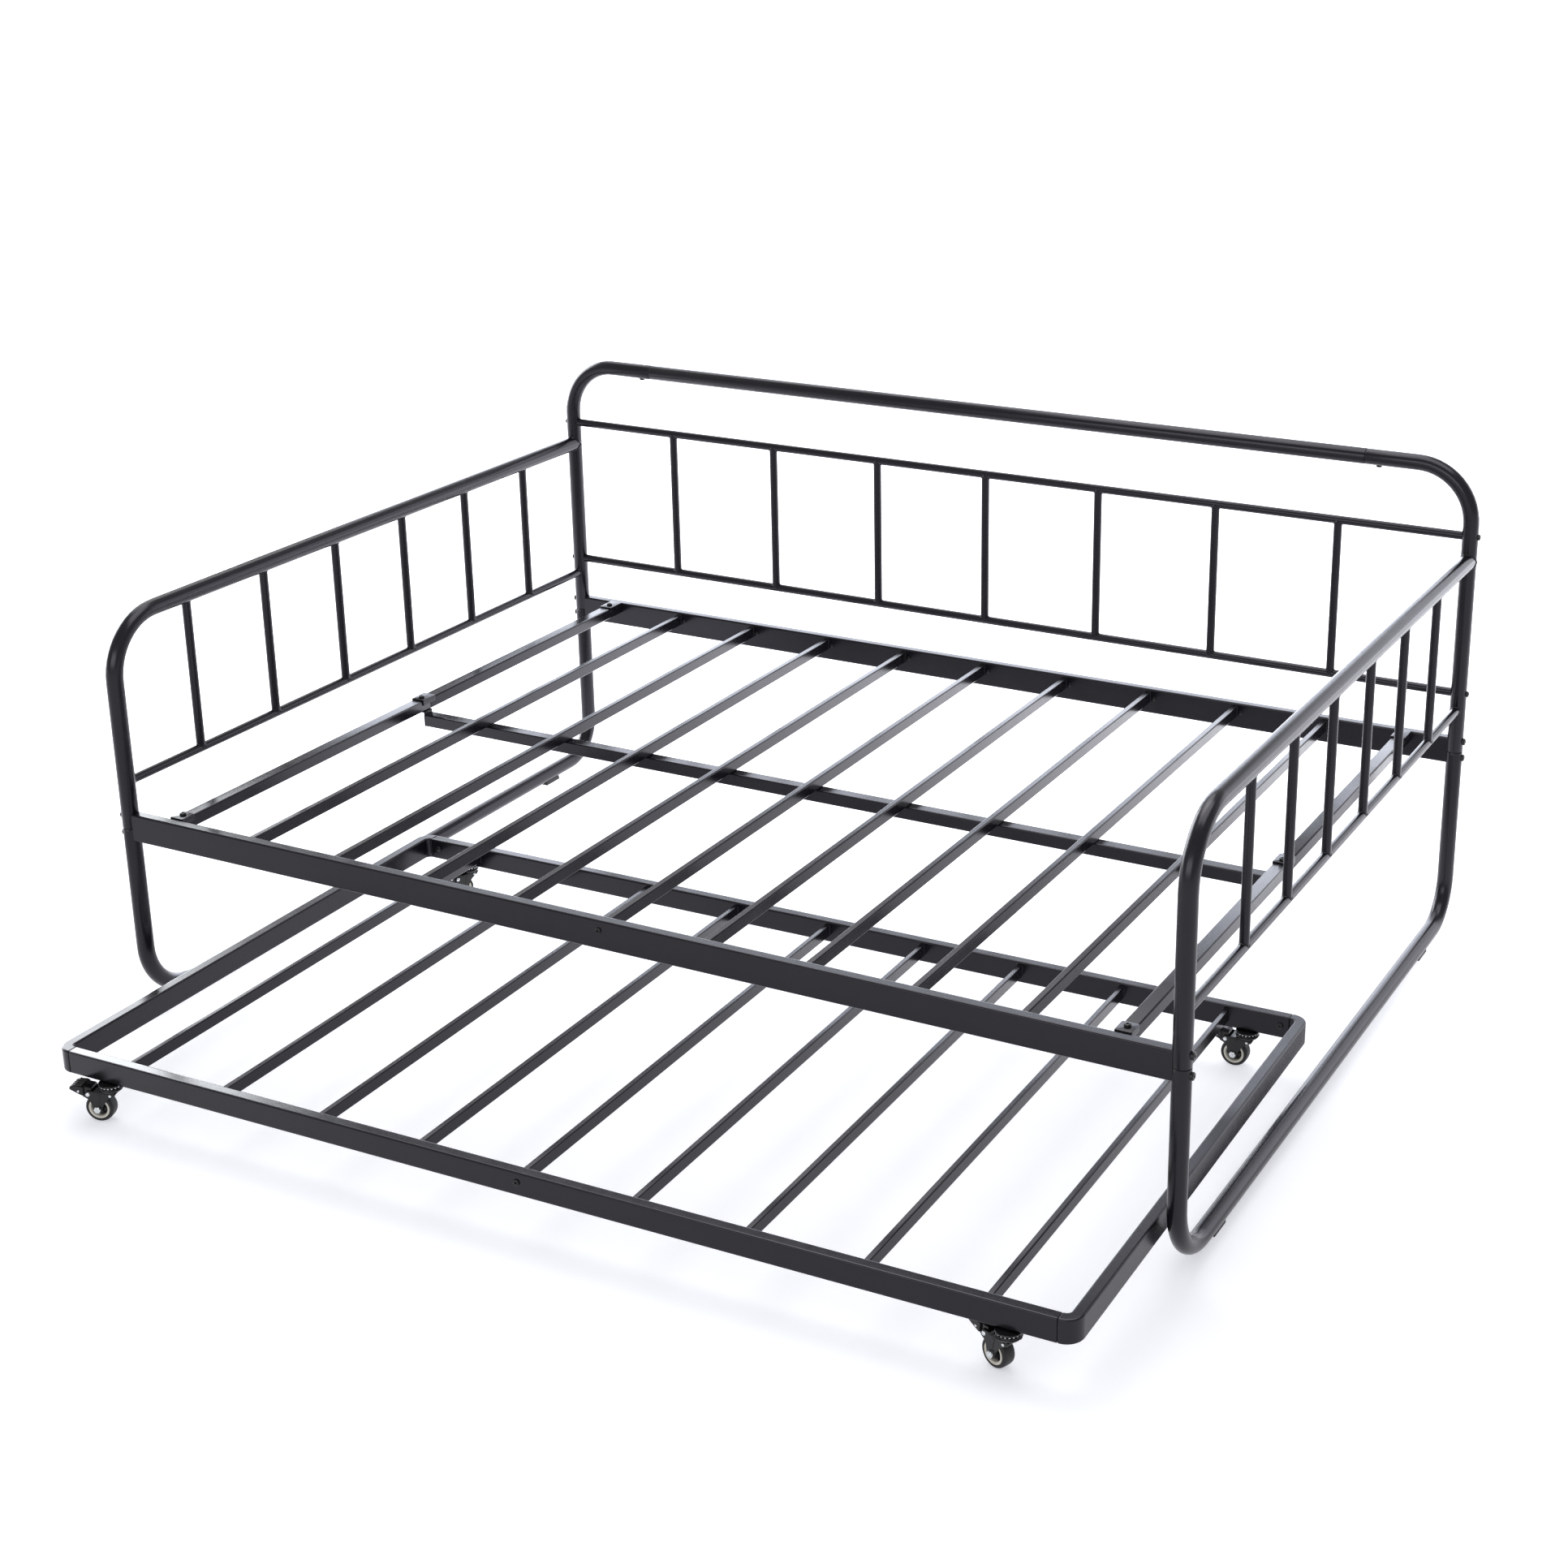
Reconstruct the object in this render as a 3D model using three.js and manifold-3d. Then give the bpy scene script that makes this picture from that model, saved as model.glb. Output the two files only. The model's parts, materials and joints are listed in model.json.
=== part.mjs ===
// Trundle bed: a tubular steel daybed with a low bed on casters that rolls out from under it.
// Millimetres. X runs along the length, +Y to the back, +Z up. Z = 0 is the floor.
import * as THREE from "three";
import { mergeVertices } from "three/addons/utils/BufferGeometryUtils.js";
import Module from "manifold-3d";

const wasm = await Module();
wasm.setup();

// ---- Driving dimensions ----

const GAP = 0.3; // between pieces that touch
const ORIGIN_Y = -175.9; // middle of the whole part in Y, measured from the middle of the daybed

// Daybed, measured from its own middle on the floor
const POST_X = 977.5; // post axis to the middle plane
const POST_Y = 694.7;
const TUBE_R = 15;
const TUBE_BORE_R = 13.8;
const SPIGOT_R = 13;
const SPIGOT_BORE_R = 11.8;
const SPIGOT_LENGTH = 40;
const THIN_R = 8;
const THIN_BORE_R = 6.8;
const BEND_R = 105; // to the tube's axis
const BACK_LEG_BEND_R = 82;
const BEND_STEPS = 5;
const TUBE_SIDES = 14;
const TUBE_BORE_SIDES = 12;
const THIN_SIDES = 8;
const THIN_BORE_SIDES = 6;
const FLOOR_RAIL_Z = 21;
const SEAM_Z = 356; // where a leg frame ends and a panel's post begins
const ARM_TOP_Z = 726.5;
const ARM_LOW_Z = 439;
const BACK_TOP_Z = 900;
const TOP_SEAM_X = 775; // where the back's top rail meets the bent posts
const LADDER_TOP_Z = 773;
const LADDER_LOW_Z = 470.5;
const LADDER_SPINDLES = 7;
const LADDER_PITCH = 242.5;
const ARM_SPINDLES = 6;
const LEFT_SPINDLE_Y = -508; // first spindle behind the front post
const LEFT_SPINDLE_PITCH = 201.3;
const RIGHT_SPINDLE_Y = -452;
const RIGHT_SPINDLE_PITCH = 190;

// Rectangular tubes
const WALL = 1.2;
const RAIL_DEPTH = 20;
const RAIL_TOP_Z = 383;
const RAIL_BOTTOM_Z = 333;
const SIDE_RAIL_X = 882;
const SIDE_RAIL_WIDTH = 24;
const SIDE_RAIL_HEIGHT = 22;
const SIDE_RAIL_TOP_Z = 383;
const SPLICE_Y = 10;
const TAB_THICKNESS = 2.2;
const SLAT_COUNT = 9;
const SLAT_WIDTH = 12;
const SLAT_HEIGHT = 22;
const SLAT_PITCH = 181;
const SLAT_TOP_Z = 377;
const BEAM_SIZE = 24;
const BEAM_TOP_Z = SLAT_TOP_Z - SLAT_HEIGHT - GAP;
const BEAM_HALF_LENGTH = 868;
const STUB_LENGTH = 8;
const STUB_CLEARANCE = 0.4;

// Floor glides
const GLIDE_LENGTH = 48;
const GLIDE_WIDTH = 18;
const FRONT_GLIDE_Y = -528;
const BACK_GLIDE_Y = 536;

// Trundle: built square about its own middle, then set down slightly askew, as it rolls freely
const TRUNDLE_X = 39.5;
const TRUNDLE_Y = -515;
const TRUNDLE_TURN = 0.77; // degrees about +Z
const TRUNDLE_HALF_X = 911.5;
const TRUNDLE_HALF_Y = 502.5;
const TRUNDLE_TOP_Z = 109;
const TRUNDLE_RAIL_HEIGHT = 40;
const TRUNDLE_RAIL_DEPTH = 20;
const TRUNDLE_CORNER_R = 18; // to the tube's middle
const TRUNDLE_SEAM_IN = 30; // from the end's outer face to the seam
const TRUNDLE_PLUG_LENGTH = 40;
const TRUNDLE_SLAT_WIDTH = 10;
const TRUNDLE_SLAT_PITCH = 192.5;
const TRUNDLE_SLAT_TOP_Z = 103;

// Casters
const CASTER_X = { left: -802, right: 807 }; // swivel axes from the trundle's middle
const CASTER_SHIFT_Y = -4; // each stands a little in front of its rail's middle
const WHEEL_R = 24;
const WHEEL_WIDTH = 22;
const TREAD_CHAMFER = 3;
const AXLE_R = 3.5;
const CASTER_TRAIL = 20; // axle behind the swivel axis
const CHEEK_INNER_Y = 12.2;
const CHEEK_THICKNESS = 2;
const MOUNT_R = 20;
const STEM_R = 4;
const STEM_TOP_Z = 88;
const PEDAL_PIVOT = [-35, 50];
const CASTERS = [
  { name: "front_left", x: CASTER_X.left, end: -1, turn: 17 },
  { name: "front_right", x: CASTER_X.right, end: -1, turn: -22 },
  { name: "back_left", x: CASTER_X.left, end: 1, turn: 72 },
  { name: "back_right", x: CASTER_X.right, end: 1, turn: 0 },
];

// ---- Materials ----

const steel = () =>
  new THREE.MeshStandardMaterial({ color: 0x38363b, roughness: 0.5, metalness: 0.4 });
const blackSteel = () =>
  new THREE.MeshStandardMaterial({ color: 0x161517, roughness: 0.3, metalness: 0.5 });
const tyre = () =>
  new THREE.MeshStandardMaterial({ color: 0x1c1b1d, roughness: 0.6, metalness: 0 });
const plastic = () =>
  new THREE.MeshStandardMaterial({ color: 0x202022, roughness: 0.7, metalness: 0 });

// ---- Solids ----

const point = (x, y, z) => new THREE.Vector3(x, y, z);

// A closed three.js geometry as a solid that can be added to and cut.
function solid(geometry) {
  const bare = geometry.clone();
  bare.deleteAttribute("normal");
  bare.deleteAttribute("uv");
  const merged = mergeVertices(bare, 1e-4);
  return new wasm.Manifold(
    new wasm.Mesh({
      numProp: 3,
      vertProperties: new Float32Array(merged.attributes.position.array),
      triVerts: new Uint32Array(merged.index.array),
    }),
  );
}

function box(x0, x1, y0, y1, z0, z1) {
  const geometry = new THREE.BoxGeometry(x1 - x0, y1 - y0, z1 - z0);
  return solid(geometry.translate((x0 + x1) / 2, (y0 + y1) / 2, (z0 + z1) / 2));
}

// A round bar between two points.
function bar(from, to, radius, sides = 12) {
  const length = from.distanceTo(to);
  const geometry = new THREE.CylinderGeometry(radius, radius, length, sides);
  const direction = to.clone().sub(from).normalize();
  const turn = new THREE.Quaternion().setFromUnitVectors(point(0, 1, 0), direction);
  const middle = from.clone().lerp(to, 0.5);
  return solid(geometry.applyQuaternion(turn).translate(middle.x, middle.y, middle.z));
}

function turned(profile, sides = 14) {
  const points = profile.map(([r, z]) => new THREE.Vector2(r, z));
  return solid(new THREE.LatheGeometry(points, sides).rotateX(Math.PI / 2));
}

// A flat outline in X and Z, given thickness along Y.
function plate(outline, y0, y1) {
  const shape = new THREE.Shape(outline.map(([x, z]) => new THREE.Vector2(x, z)));
  const geometry = new THREE.ExtrudeGeometry(shape, { depth: y1 - y0, bevelEnabled: false });
  return solid(geometry.rotateX(Math.PI / 2).translate(0, y1, 0));
}

// A path through corner points. Each corner is rounded to its own radius.
function roundedPath(corners, radii, steps) {
  const path = [corners[0]];
  for (let i = 1; i < corners.length - 1; i += 1) {
    const radius = radii[i - 1];
    const corner = corners[i];
    const before = corners[i - 1].clone().sub(corner).normalize();
    const after = corners[i + 1].clone().sub(corner).normalize();
    const half = before.angleTo(after) / 2;
    const centre = before.clone().add(after).normalize().multiplyScalar(radius / Math.sin(half));
    centre.add(corner);
    const first = corner.clone().addScaledVector(before, radius / Math.tan(half)).sub(centre);
    const last = corner.clone().addScaledVector(after, radius / Math.tan(half)).sub(centre);
    const axis = first.clone().cross(last).normalize();
    const sweep = first.angleTo(last);
    for (let step = 0; step <= steps; step += 1) {
      path.push(first.clone().applyAxisAngle(axis, (sweep * step) / steps).add(centre));
    }
  }
  path.push(corners[corners.length - 1]);
  return path;
}

// A curve that visits its points one by one, so that a sweep puts a section at each.
class PointPath extends THREE.Curve {
  constructor(points) {
    super();
    this.points = points;
  }

  getPoint(t) {
    return this.points[Math.round(t * (this.points.length - 1))].clone();
  }

  getPointAt(u) {
    return this.getPoint(u);
  }

  getTangentAt(u) {
    const last = this.points.length - 1;
    const i = Math.round(u * last);
    const back = this.points[i].clone().sub(this.points[Math.max(i - 1, 0)]).normalize();
    const on = this.points[Math.min(i + 1, last)].clone().sub(this.points[i]).normalize();
    return back.add(on).normalize();
  }
}

function sweep(points, shape) {
  const extrudePath = new PointPath(points);
  return solid(
    new THREE.ExtrudeGeometry(shape, { steps: points.length - 1, extrudePath, bevelEnabled: false }),
  );
}

function circleShape(radius, sides) {
  const points = [];
  for (let i = 0; i < sides; i += 1) {
    const angle = ((i + 0.5) * 2 * Math.PI) / sides;
    points.push(new THREE.Vector2(radius * Math.cos(angle), radius * Math.sin(angle)));
  }
  return new THREE.Shape(points);
}

function rectangleShape(width, height) {
  const x = width / 2;
  const y = height / 2;
  return new THREE.Shape([
    new THREE.Vector2(-x, -y),
    new THREE.Vector2(x, -y),
    new THREE.Vector2(x, y),
    new THREE.Vector2(-x, y),
  ]);
}

const tubeSolid = (path) => sweep(path, circleShape(TUBE_R, TUBE_SIDES));
const tubeBore = (path) => sweep(path, circleShape(TUBE_BORE_R, TUBE_BORE_SIDES));
const thinSolid = (from, to) => bar(from, to, THIN_R, THIN_SIDES);
const thinBore = (from, to) => bar(from, to, THIN_BORE_R, THIN_BORE_SIDES);
const union = (solids) => wasm.Manifold.union(solids);

// The same path with its ends drawn out, so that a bore cut along it breaks through.
function extended(path, startOnly = false) {
  const longer = path.map((p) => p.clone());
  const last = longer.length - 1;
  longer[0].addScaledVector(longer[0].clone().sub(longer[1]).normalize(), 1);
  if (!startOnly) {
    longer[last].addScaledVector(longer[last].clone().sub(longer[last - 1]).normalize(), 1);
  }
  return longer;
}

// A square-cut rectangular tube along Y, open at both ends.
function slatTube(x, width, y0, y1, topZ, height) {
  const half = width / 2;
  const outer = box(x - half, x + half, y0, y1, topZ - height, topZ);
  const bore = box(
    x - half + WALL,
    x + half - WALL,
    y0 - 1,
    y1 + 1,
    topZ - height + WALL,
    topZ - WALL,
  );
  return outer.subtract(bore);
}

// The stubs on a rail that the slats slide over. Side is +1 when they stand toward +Y.
function slatStubs(pitch, width, faceY, side, topZ, height) {
  const inset = WALL + STUB_CLEARANCE;
  const half = width / 2 - inset;
  const stubs = [];
  for (let i = 0; i < SLAT_COUNT; i += 1) {
    const x = (i - (SLAT_COUNT - 1) / 2) * pitch;
    const y0 = Math.min(faceY - side * 0.5, faceY + side * STUB_LENGTH);
    const y1 = Math.max(faceY - side * 0.5, faceY + side * STUB_LENGTH);
    stubs.push(box(x - half, x + half, y0, y1, topZ - height + inset, topZ - inset));
  }
  return stubs;
}

// ---- Assembly ----

const bed = new THREE.Group();
bed.name = "trundle_bed";

function addPiece(name, body, material) {
  const made = body.getMesh();
  const geometry = new THREE.BufferGeometry();
  geometry.setAttribute("position", new THREE.BufferAttribute(made.vertProperties, 3));
  geometry.setIndex(new THREE.BufferAttribute(made.triVerts, 1));
  geometry.translate(0, -ORIGIN_Y, 0);
  geometry.computeVertexNormals();
  const mesh = new THREE.Mesh(geometry, material);
  mesh.name = name;
  bed.add(mesh);
}

// An arm panel: the tall back post, bent inward at its top, the arm that bends down into
// the front post, a thin lower rail and thin spindles, all welded.
function armPanel(side, spindleY, spindlePitch) {
  const x = side * POST_X;
  const backPost = roundedPath(
    [
      point(x, POST_Y, SEAM_Z + GAP),
      point(x, POST_Y, BACK_TOP_Z),
      point(side * (TOP_SEAM_X + GAP), POST_Y, BACK_TOP_Z),
    ],
    [BEND_R],
    BEND_STEPS,
  );
  const arm = roundedPath(
    [
      point(x, -POST_Y, SEAM_Z + GAP),
      point(x, -POST_Y, ARM_TOP_Z),
      point(x, POST_Y, ARM_TOP_Z),
    ],
    [BEND_R],
    BEND_STEPS,
  );
  const lowFront = point(x, -POST_Y, ARM_LOW_Z);
  const lowBack = point(x, POST_Y, ARM_LOW_Z);
  const outer = [
    tubeSolid(backPost),
    tubeSolid(arm),
    thinSolid(lowFront, lowBack),
  ];
  const bore = [
    tubeBore(extended(backPost)),
    tubeBore(extended(arm, true)),
    thinBore(lowFront, lowBack),
  ];
  for (let i = 0; i < ARM_SPINDLES; i += 1) {
    const y = spindleY + i * spindlePitch;
    const bottom = point(x, y, ARM_LOW_Z);
    const top = point(x, y, ARM_TOP_Z);
    outer.push(thinSolid(bottom, top));
    bore.push(thinBore(bottom, top));
  }
  return union(outer).subtract(union(bore));
}

// A leg frame: one tube bent into a U, with a reduced spigot at each end for the posts.
function legFrame(side) {
  const x = side * POST_X;
  const path = roundedPath(
    [
      point(x, -POST_Y, SEAM_Z),
      point(x, -POST_Y, FLOOR_RAIL_Z),
      point(x, POST_Y, FLOOR_RAIL_Z),
      point(x, POST_Y, SEAM_Z),
    ],
    [BEND_R, BACK_LEG_BEND_R],
    BEND_STEPS,
  );
  const bore = path.map((p) => p.clone());
  bore[0].z -= SPIGOT_LENGTH;
  bore[bore.length - 1].z -= SPIGOT_LENGTH;
  let frame = tubeSolid(path);
  let hollow = tubeBore(bore);
  for (const y of [-POST_Y, POST_Y]) {
    const low = point(x, y, SEAM_Z - SPIGOT_LENGTH);
    frame = frame.add(bar(low, point(x, y, SEAM_Z + SPIGOT_LENGTH), SPIGOT_R));
    low.z -= 1;
    hollow = hollow.add(bar(low, point(x, y, SEAM_Z + SPIGOT_LENGTH + 1), SPIGOT_BORE_R));
  }
  return frame.subtract(hollow);
}

const postClearance = (side, y, z0, z1) =>
  bar(point(side * POST_X, y, z0), point(side * POST_X, y, z1), TUBE_R + GAP, 20);

// The back's ladder: two thin rails between the posts with thin spindles between them.
function ladder() {
  const outer = [];
  const bore = [];
  for (const z of [LADDER_TOP_Z, LADDER_LOW_Z]) {
    const left = point(-POST_X, POST_Y, z);
    const right = point(POST_X, POST_Y, z);
    outer.push(thinSolid(left, right));
    bore.push(thinBore(left, right));
  }
  for (let i = 0; i < LADDER_SPINDLES; i += 1) {
    const x = (i - (LADDER_SPINDLES - 1) / 2) * LADDER_PITCH;
    const bottom = point(x, POST_Y, LADDER_LOW_Z);
    const top = point(x, POST_Y, LADDER_TOP_Z);
    outer.push(thinSolid(bottom, top));
    bore.push(thinBore(bottom, top));
  }
  const posts = [-1, 1].map((side) => postClearance(side, POST_Y, 400, 820));
  return union(outer).subtract(union([...bore, ...posts]));
}

function backTopRail() {
  const tip = TOP_SEAM_X + SPIGOT_LENGTH;
  const at = (x) => point(x, POST_Y, BACK_TOP_Z);
  const outer = bar(at(-TOP_SEAM_X), at(TOP_SEAM_X), TUBE_R).add(bar(at(-tip), at(tip), SPIGOT_R));
  return outer.subtract(bar(at(-tip - 1), at(tip + 1), SPIGOT_BORE_R));
}

// A long rail between two posts, with stubs for the slats and blocks for the side rails.
function longRail(y, side) {
  const half = RAIL_DEPTH / 2;
  const outer = box(-POST_X, POST_X, y - half, y + half, RAIL_BOTTOM_Z, RAIL_TOP_Z);
  const bore = box(
    -POST_X,
    POST_X,
    y - half + WALL,
    y + half - WALL,
    RAIL_BOTTOM_Z + WALL,
    RAIL_TOP_Z - WALL,
  );
  const posts = [-1, 1].map((end) => postClearance(end, y, RAIL_BOTTOM_Z - 9, RAIL_TOP_Z + 9));
  const faceY = y + side * half;
  const stubs = slatStubs(SLAT_PITCH, SLAT_WIDTH, faceY, side, SLAT_TOP_Z, SLAT_HEIGHT);
  const inset = WALL + STUB_CLEARANCE;
  for (const end of [-1, 1]) {
    const x = end * SIDE_RAIL_X;
    const reach = SIDE_RAIL_WIDTH / 2 - inset;
    stubs.push(
      box(
        x - reach,
        x + reach,
        Math.min(faceY - side * 0.5, faceY + side * STUB_LENGTH),
        Math.max(faceY - side * 0.5, faceY + side * STUB_LENGTH),
        SIDE_RAIL_TOP_Z - SIDE_RAIL_HEIGHT + inset,
        SIDE_RAIL_TOP_Z - inset,
      ),
    );
  }
  return union([outer.subtract(bore), ...stubs]).subtract(union(posts));
}

const railInnerY = POST_Y - RAIL_DEPTH / 2 - GAP;
const sideRailTube = (x, y0, y1) =>
  slatTube(x, SIDE_RAIL_WIDTH, y0, y1, SIDE_RAIL_TOP_Z, SIDE_RAIL_HEIGHT);

// A bolt tab lying on top of a side rail.
function tab(x, y0, y1, z0) {
  const half = SIDE_RAIL_WIDTH / 2;
  return box(x - half, x + half, y0, y1, z0, z0 + TAB_THICKNESS);
}

function sideRailFront(side) {
  const x = side * SIDE_RAIL_X;
  const tube = sideRailTube(x, -railInnerY, SPLICE_Y);
  const inset = WALL + STUB_CLEARANCE;
  const half = SIDE_RAIL_WIDTH / 2;
  const low = SIDE_RAIL_TOP_Z - SIDE_RAIL_HEIGHT;
  const end = SPLICE_Y + 60;
  const plug = box(
    x - half + inset,
    x + half - inset,
    SPLICE_Y - 40,
    end,
    low + inset,
    SIDE_RAIL_TOP_Z - inset,
  );
  const plugBore = box(
    x - half + 2 * inset,
    x + half - 2 * inset,
    SPLICE_Y - 41,
    end + 1,
    low + 2 * inset,
    SIDE_RAIL_TOP_Z - 2 * inset,
  );
  const shoulder = box(
    x - half + 1,
    x + half - 1,
    SPLICE_Y - 12,
    SPLICE_Y,
    low + 1,
    SIDE_RAIL_TOP_Z - 1,
  );
  const topTab = tab(x, -railInnerY, -railInnerY + 28, SIDE_RAIL_TOP_Z);
  return union([tube, plug, shoulder, topTab]).subtract(plugBore);
}

function sideRailBack(side) {
  const x = side * SIDE_RAIL_X;
  const tube = sideRailTube(x, SPLICE_Y + GAP, railInnerY);
  const bridge = tab(x, SPLICE_Y - 24, SPLICE_Y + 12, SIDE_RAIL_TOP_Z + GAP);
  const weld = box(x - 10, x + 10, SPLICE_Y + 1, SPLICE_Y + 12, SIDE_RAIL_TOP_Z - 1, SIDE_RAIL_TOP_Z + 1);
  const backTab = tab(x, railInnerY - 42, railInnerY, SIDE_RAIL_TOP_Z);
  return union([tube, bridge, weld, backTab]);
}

function centreBeam() {
  const half = BEAM_SIZE / 2;
  const outer = box(
    -BEAM_HALF_LENGTH,
    BEAM_HALF_LENGTH,
    -half,
    half,
    BEAM_TOP_Z - BEAM_SIZE,
    BEAM_TOP_Z,
  );
  const bore = box(
    -BEAM_HALF_LENGTH - 1,
    BEAM_HALF_LENGTH + 1,
    -half + WALL,
    half - WALL,
    BEAM_TOP_Z - BEAM_SIZE + WALL,
    BEAM_TOP_Z - WALL,
  );
  return outer.subtract(bore);
}

// The hanger under a splice: a flange below the side rail, a drop plate and a plug for the beam.
function beamHanger(side) {
  const railLow = SIDE_RAIL_TOP_Z - SIDE_RAIL_HEIGHT - GAP;
  const outerX = side * (SIDE_RAIL_X + 10);
  const innerX = side * (BEAM_HALF_LENGTH + GAP);
  const spanX = [Math.min(outerX, innerX), Math.max(outerX, innerX)];
  const flange = box(spanX[0], spanX[1], -12, 12, railLow - 2, railLow);
  const dropX = [innerX, side * (BEAM_HALF_LENGTH + GAP + 2.5)].sort((a, b) => a - b);
  const drop = box(dropX[0], dropX[1], -12, 12, BEAM_TOP_Z - BEAM_SIZE, railLow);
  const plugX = [side * (BEAM_HALF_LENGTH - 25), side * (BEAM_HALF_LENGTH + 1)].sort((a, b) => a - b);
  const reach = BEAM_SIZE / 2 - WALL - STUB_CLEARANCE;
  const middleZ = BEAM_TOP_Z - BEAM_SIZE / 2;
  const plug = box(plugX[0], plugX[1], -reach, reach, middleZ - reach, middleZ + reach);
  return union([flange, drop, plug]);
}

// A floor glide: a block with a hollowed top that sits against the floor rail.
function glide(side, y) {
  const x = side * POST_X;
  const block = box(
    x - GLIDE_WIDTH / 2,
    x + GLIDE_WIDTH / 2,
    y - GLIDE_LENGTH / 2,
    y + GLIDE_LENGTH / 2,
    0,
    FLOOR_RAIL_Z - 12,
  );
  const seat = bar(
    point(x, y - GLIDE_LENGTH, FLOOR_RAIL_Z),
    point(x, y + GLIDE_LENGTH, FLOOR_RAIL_Z),
    TUBE_R + GAP,
    24,
  );
  return block.subtract(seat);
}

addPiece("left_leg_frame", legFrame(-1), steel());
addPiece("right_leg_frame", legFrame(1), steel());
addPiece("left_arm_panel", armPanel(-1, LEFT_SPINDLE_Y, LEFT_SPINDLE_PITCH), steel());
addPiece("right_arm_panel", armPanel(1, RIGHT_SPINDLE_Y, RIGHT_SPINDLE_PITCH), steel());
addPiece("back_top_rail", backTopRail(), steel());
addPiece("back_ladder", ladder(), steel());
addPiece("front_rail", longRail(-POST_Y, 1), steel());
addPiece("back_rail", longRail(POST_Y, -1), steel());
for (const [label, side] of [
  ["left", -1],
  ["right", 1],
]) {
  addPiece(`${label}_side_rail_front`, sideRailFront(side), steel());
  addPiece(`${label}_side_rail_back`, sideRailBack(side), steel());
  addPiece(`${label}_beam_hanger`, beamHanger(side), steel());
  addPiece(`${label}_front_glide`, glide(side, FRONT_GLIDE_Y), plastic());
  addPiece(`${label}_back_glide`, glide(side, BACK_GLIDE_Y), plastic());
}
addPiece("centre_beam", centreBeam(), steel());
for (let i = 0; i < SLAT_COUNT; i += 1) {
  const x = (i - (SLAT_COUNT - 1) / 2) * SLAT_PITCH;
  const tube = slatTube(x, SLAT_WIDTH, -railInnerY, railInnerY, SLAT_TOP_Z, SLAT_HEIGHT);
  addPiece(`slat_${i + 1}`, tube, steel());
}

// ---- Trundle ----

const trundleLowZ = TRUNDLE_TOP_Z - TRUNDLE_RAIL_HEIGHT;
const trundleMiddleZ = TRUNDLE_TOP_Z - TRUNDLE_RAIL_HEIGHT / 2;
const trundleRailY = TRUNDLE_HALF_Y - TRUNDLE_RAIL_DEPTH / 2;
const trundleSeamX = TRUNDLE_HALF_X - TRUNDLE_SEAM_IN;
const placeTrundle = (body) => body.rotate([0, 0, TRUNDLE_TURN]).translate([TRUNDLE_X, TRUNDLE_Y, 0]);

// An end of the trundle: a tube with two tight bends and a plug for each long rail.
function trundleEnd(side) {
  const seamX = side * (trundleSeamX + GAP);
  const endX = side * (TRUNDLE_HALF_X - TRUNDLE_RAIL_DEPTH / 2);
  const path = roundedPath(
    [
      point(seamX, -trundleRailY, trundleMiddleZ),
      point(endX, -trundleRailY, trundleMiddleZ),
      point(endX, trundleRailY, trundleMiddleZ),
      point(seamX, trundleRailY, trundleMiddleZ),
    ],
    [TRUNDLE_CORNER_R, TRUNDLE_CORNER_R],
    5,
  );
  const outer = sweep(path, rectangleShape(TRUNDLE_RAIL_HEIGHT, TRUNDLE_RAIL_DEPTH));
  const bore = sweep(
    extended(path),
    rectangleShape(TRUNDLE_RAIL_HEIGHT - 2 * WALL, TRUNDLE_RAIL_DEPTH - 2 * WALL),
  );
  const inset = WALL + STUB_CLEARANCE;
  const pieces = [outer.subtract(bore)];
  for (const y of [-trundleRailY, trundleRailY]) {
    const tipX = seamX - side * TRUNDLE_PLUG_LENGTH;
    const rootX = seamX + side * 6;
    const plug = box(
      Math.min(tipX, rootX),
      Math.max(tipX, rootX),
      y - TRUNDLE_RAIL_DEPTH / 2 + inset,
      y + TRUNDLE_RAIL_DEPTH / 2 - inset,
      trundleLowZ + inset,
      TRUNDLE_TOP_Z - inset,
    );
    const collar = box(
      Math.min(seamX, rootX),
      Math.max(seamX, rootX),
      y - TRUNDLE_RAIL_DEPTH / 2 + 1,
      y + TRUNDLE_RAIL_DEPTH / 2 - 1,
      trundleLowZ + 1,
      TRUNDLE_TOP_Z - 1,
    );
    const through = box(
      Math.min(tipX, rootX) - 1,
      Math.max(tipX, rootX) + 1,
      y - TRUNDLE_RAIL_DEPTH / 2 + 2 * inset,
      y + TRUNDLE_RAIL_DEPTH / 2 - 2 * inset,
      trundleLowZ + 2 * inset,
      TRUNDLE_TOP_Z - 2 * inset,
    );
    pieces.push(plug.add(collar).subtract(through));
  }
  return union(pieces);
}

function trundleRail(end) {
  const y = end * trundleRailY;
  const half = TRUNDLE_RAIL_DEPTH / 2;
  const x0 = -trundleSeamX;
  const x1 = trundleSeamX;
  const outer = box(x0, x1, y - half, y + half, trundleLowZ, TRUNDLE_TOP_Z);
  const bore = box(
    x0 - 1,
    x1 + 1,
    y - half + WALL,
    y + half - WALL,
    trundleLowZ + WALL,
    TRUNDLE_TOP_Z - WALL,
  );
  const stubs = slatStubs(
    TRUNDLE_SLAT_PITCH,
    TRUNDLE_SLAT_WIDTH,
    y - end * half,
    -end,
    TRUNDLE_SLAT_TOP_Z,
    SLAT_HEIGHT,
  );
  const stemHoles = Object.values(CASTER_X).map((x) =>
    bar(
      point(x, y + CASTER_SHIFT_Y, trundleLowZ - 1),
      point(x, y + CASTER_SHIFT_Y, trundleMiddleZ),
      STEM_R + 0.6,
      12,
    ),
  );
  return union([outer.subtract(bore), ...stubs]).subtract(union(stemHoles));
}

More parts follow.
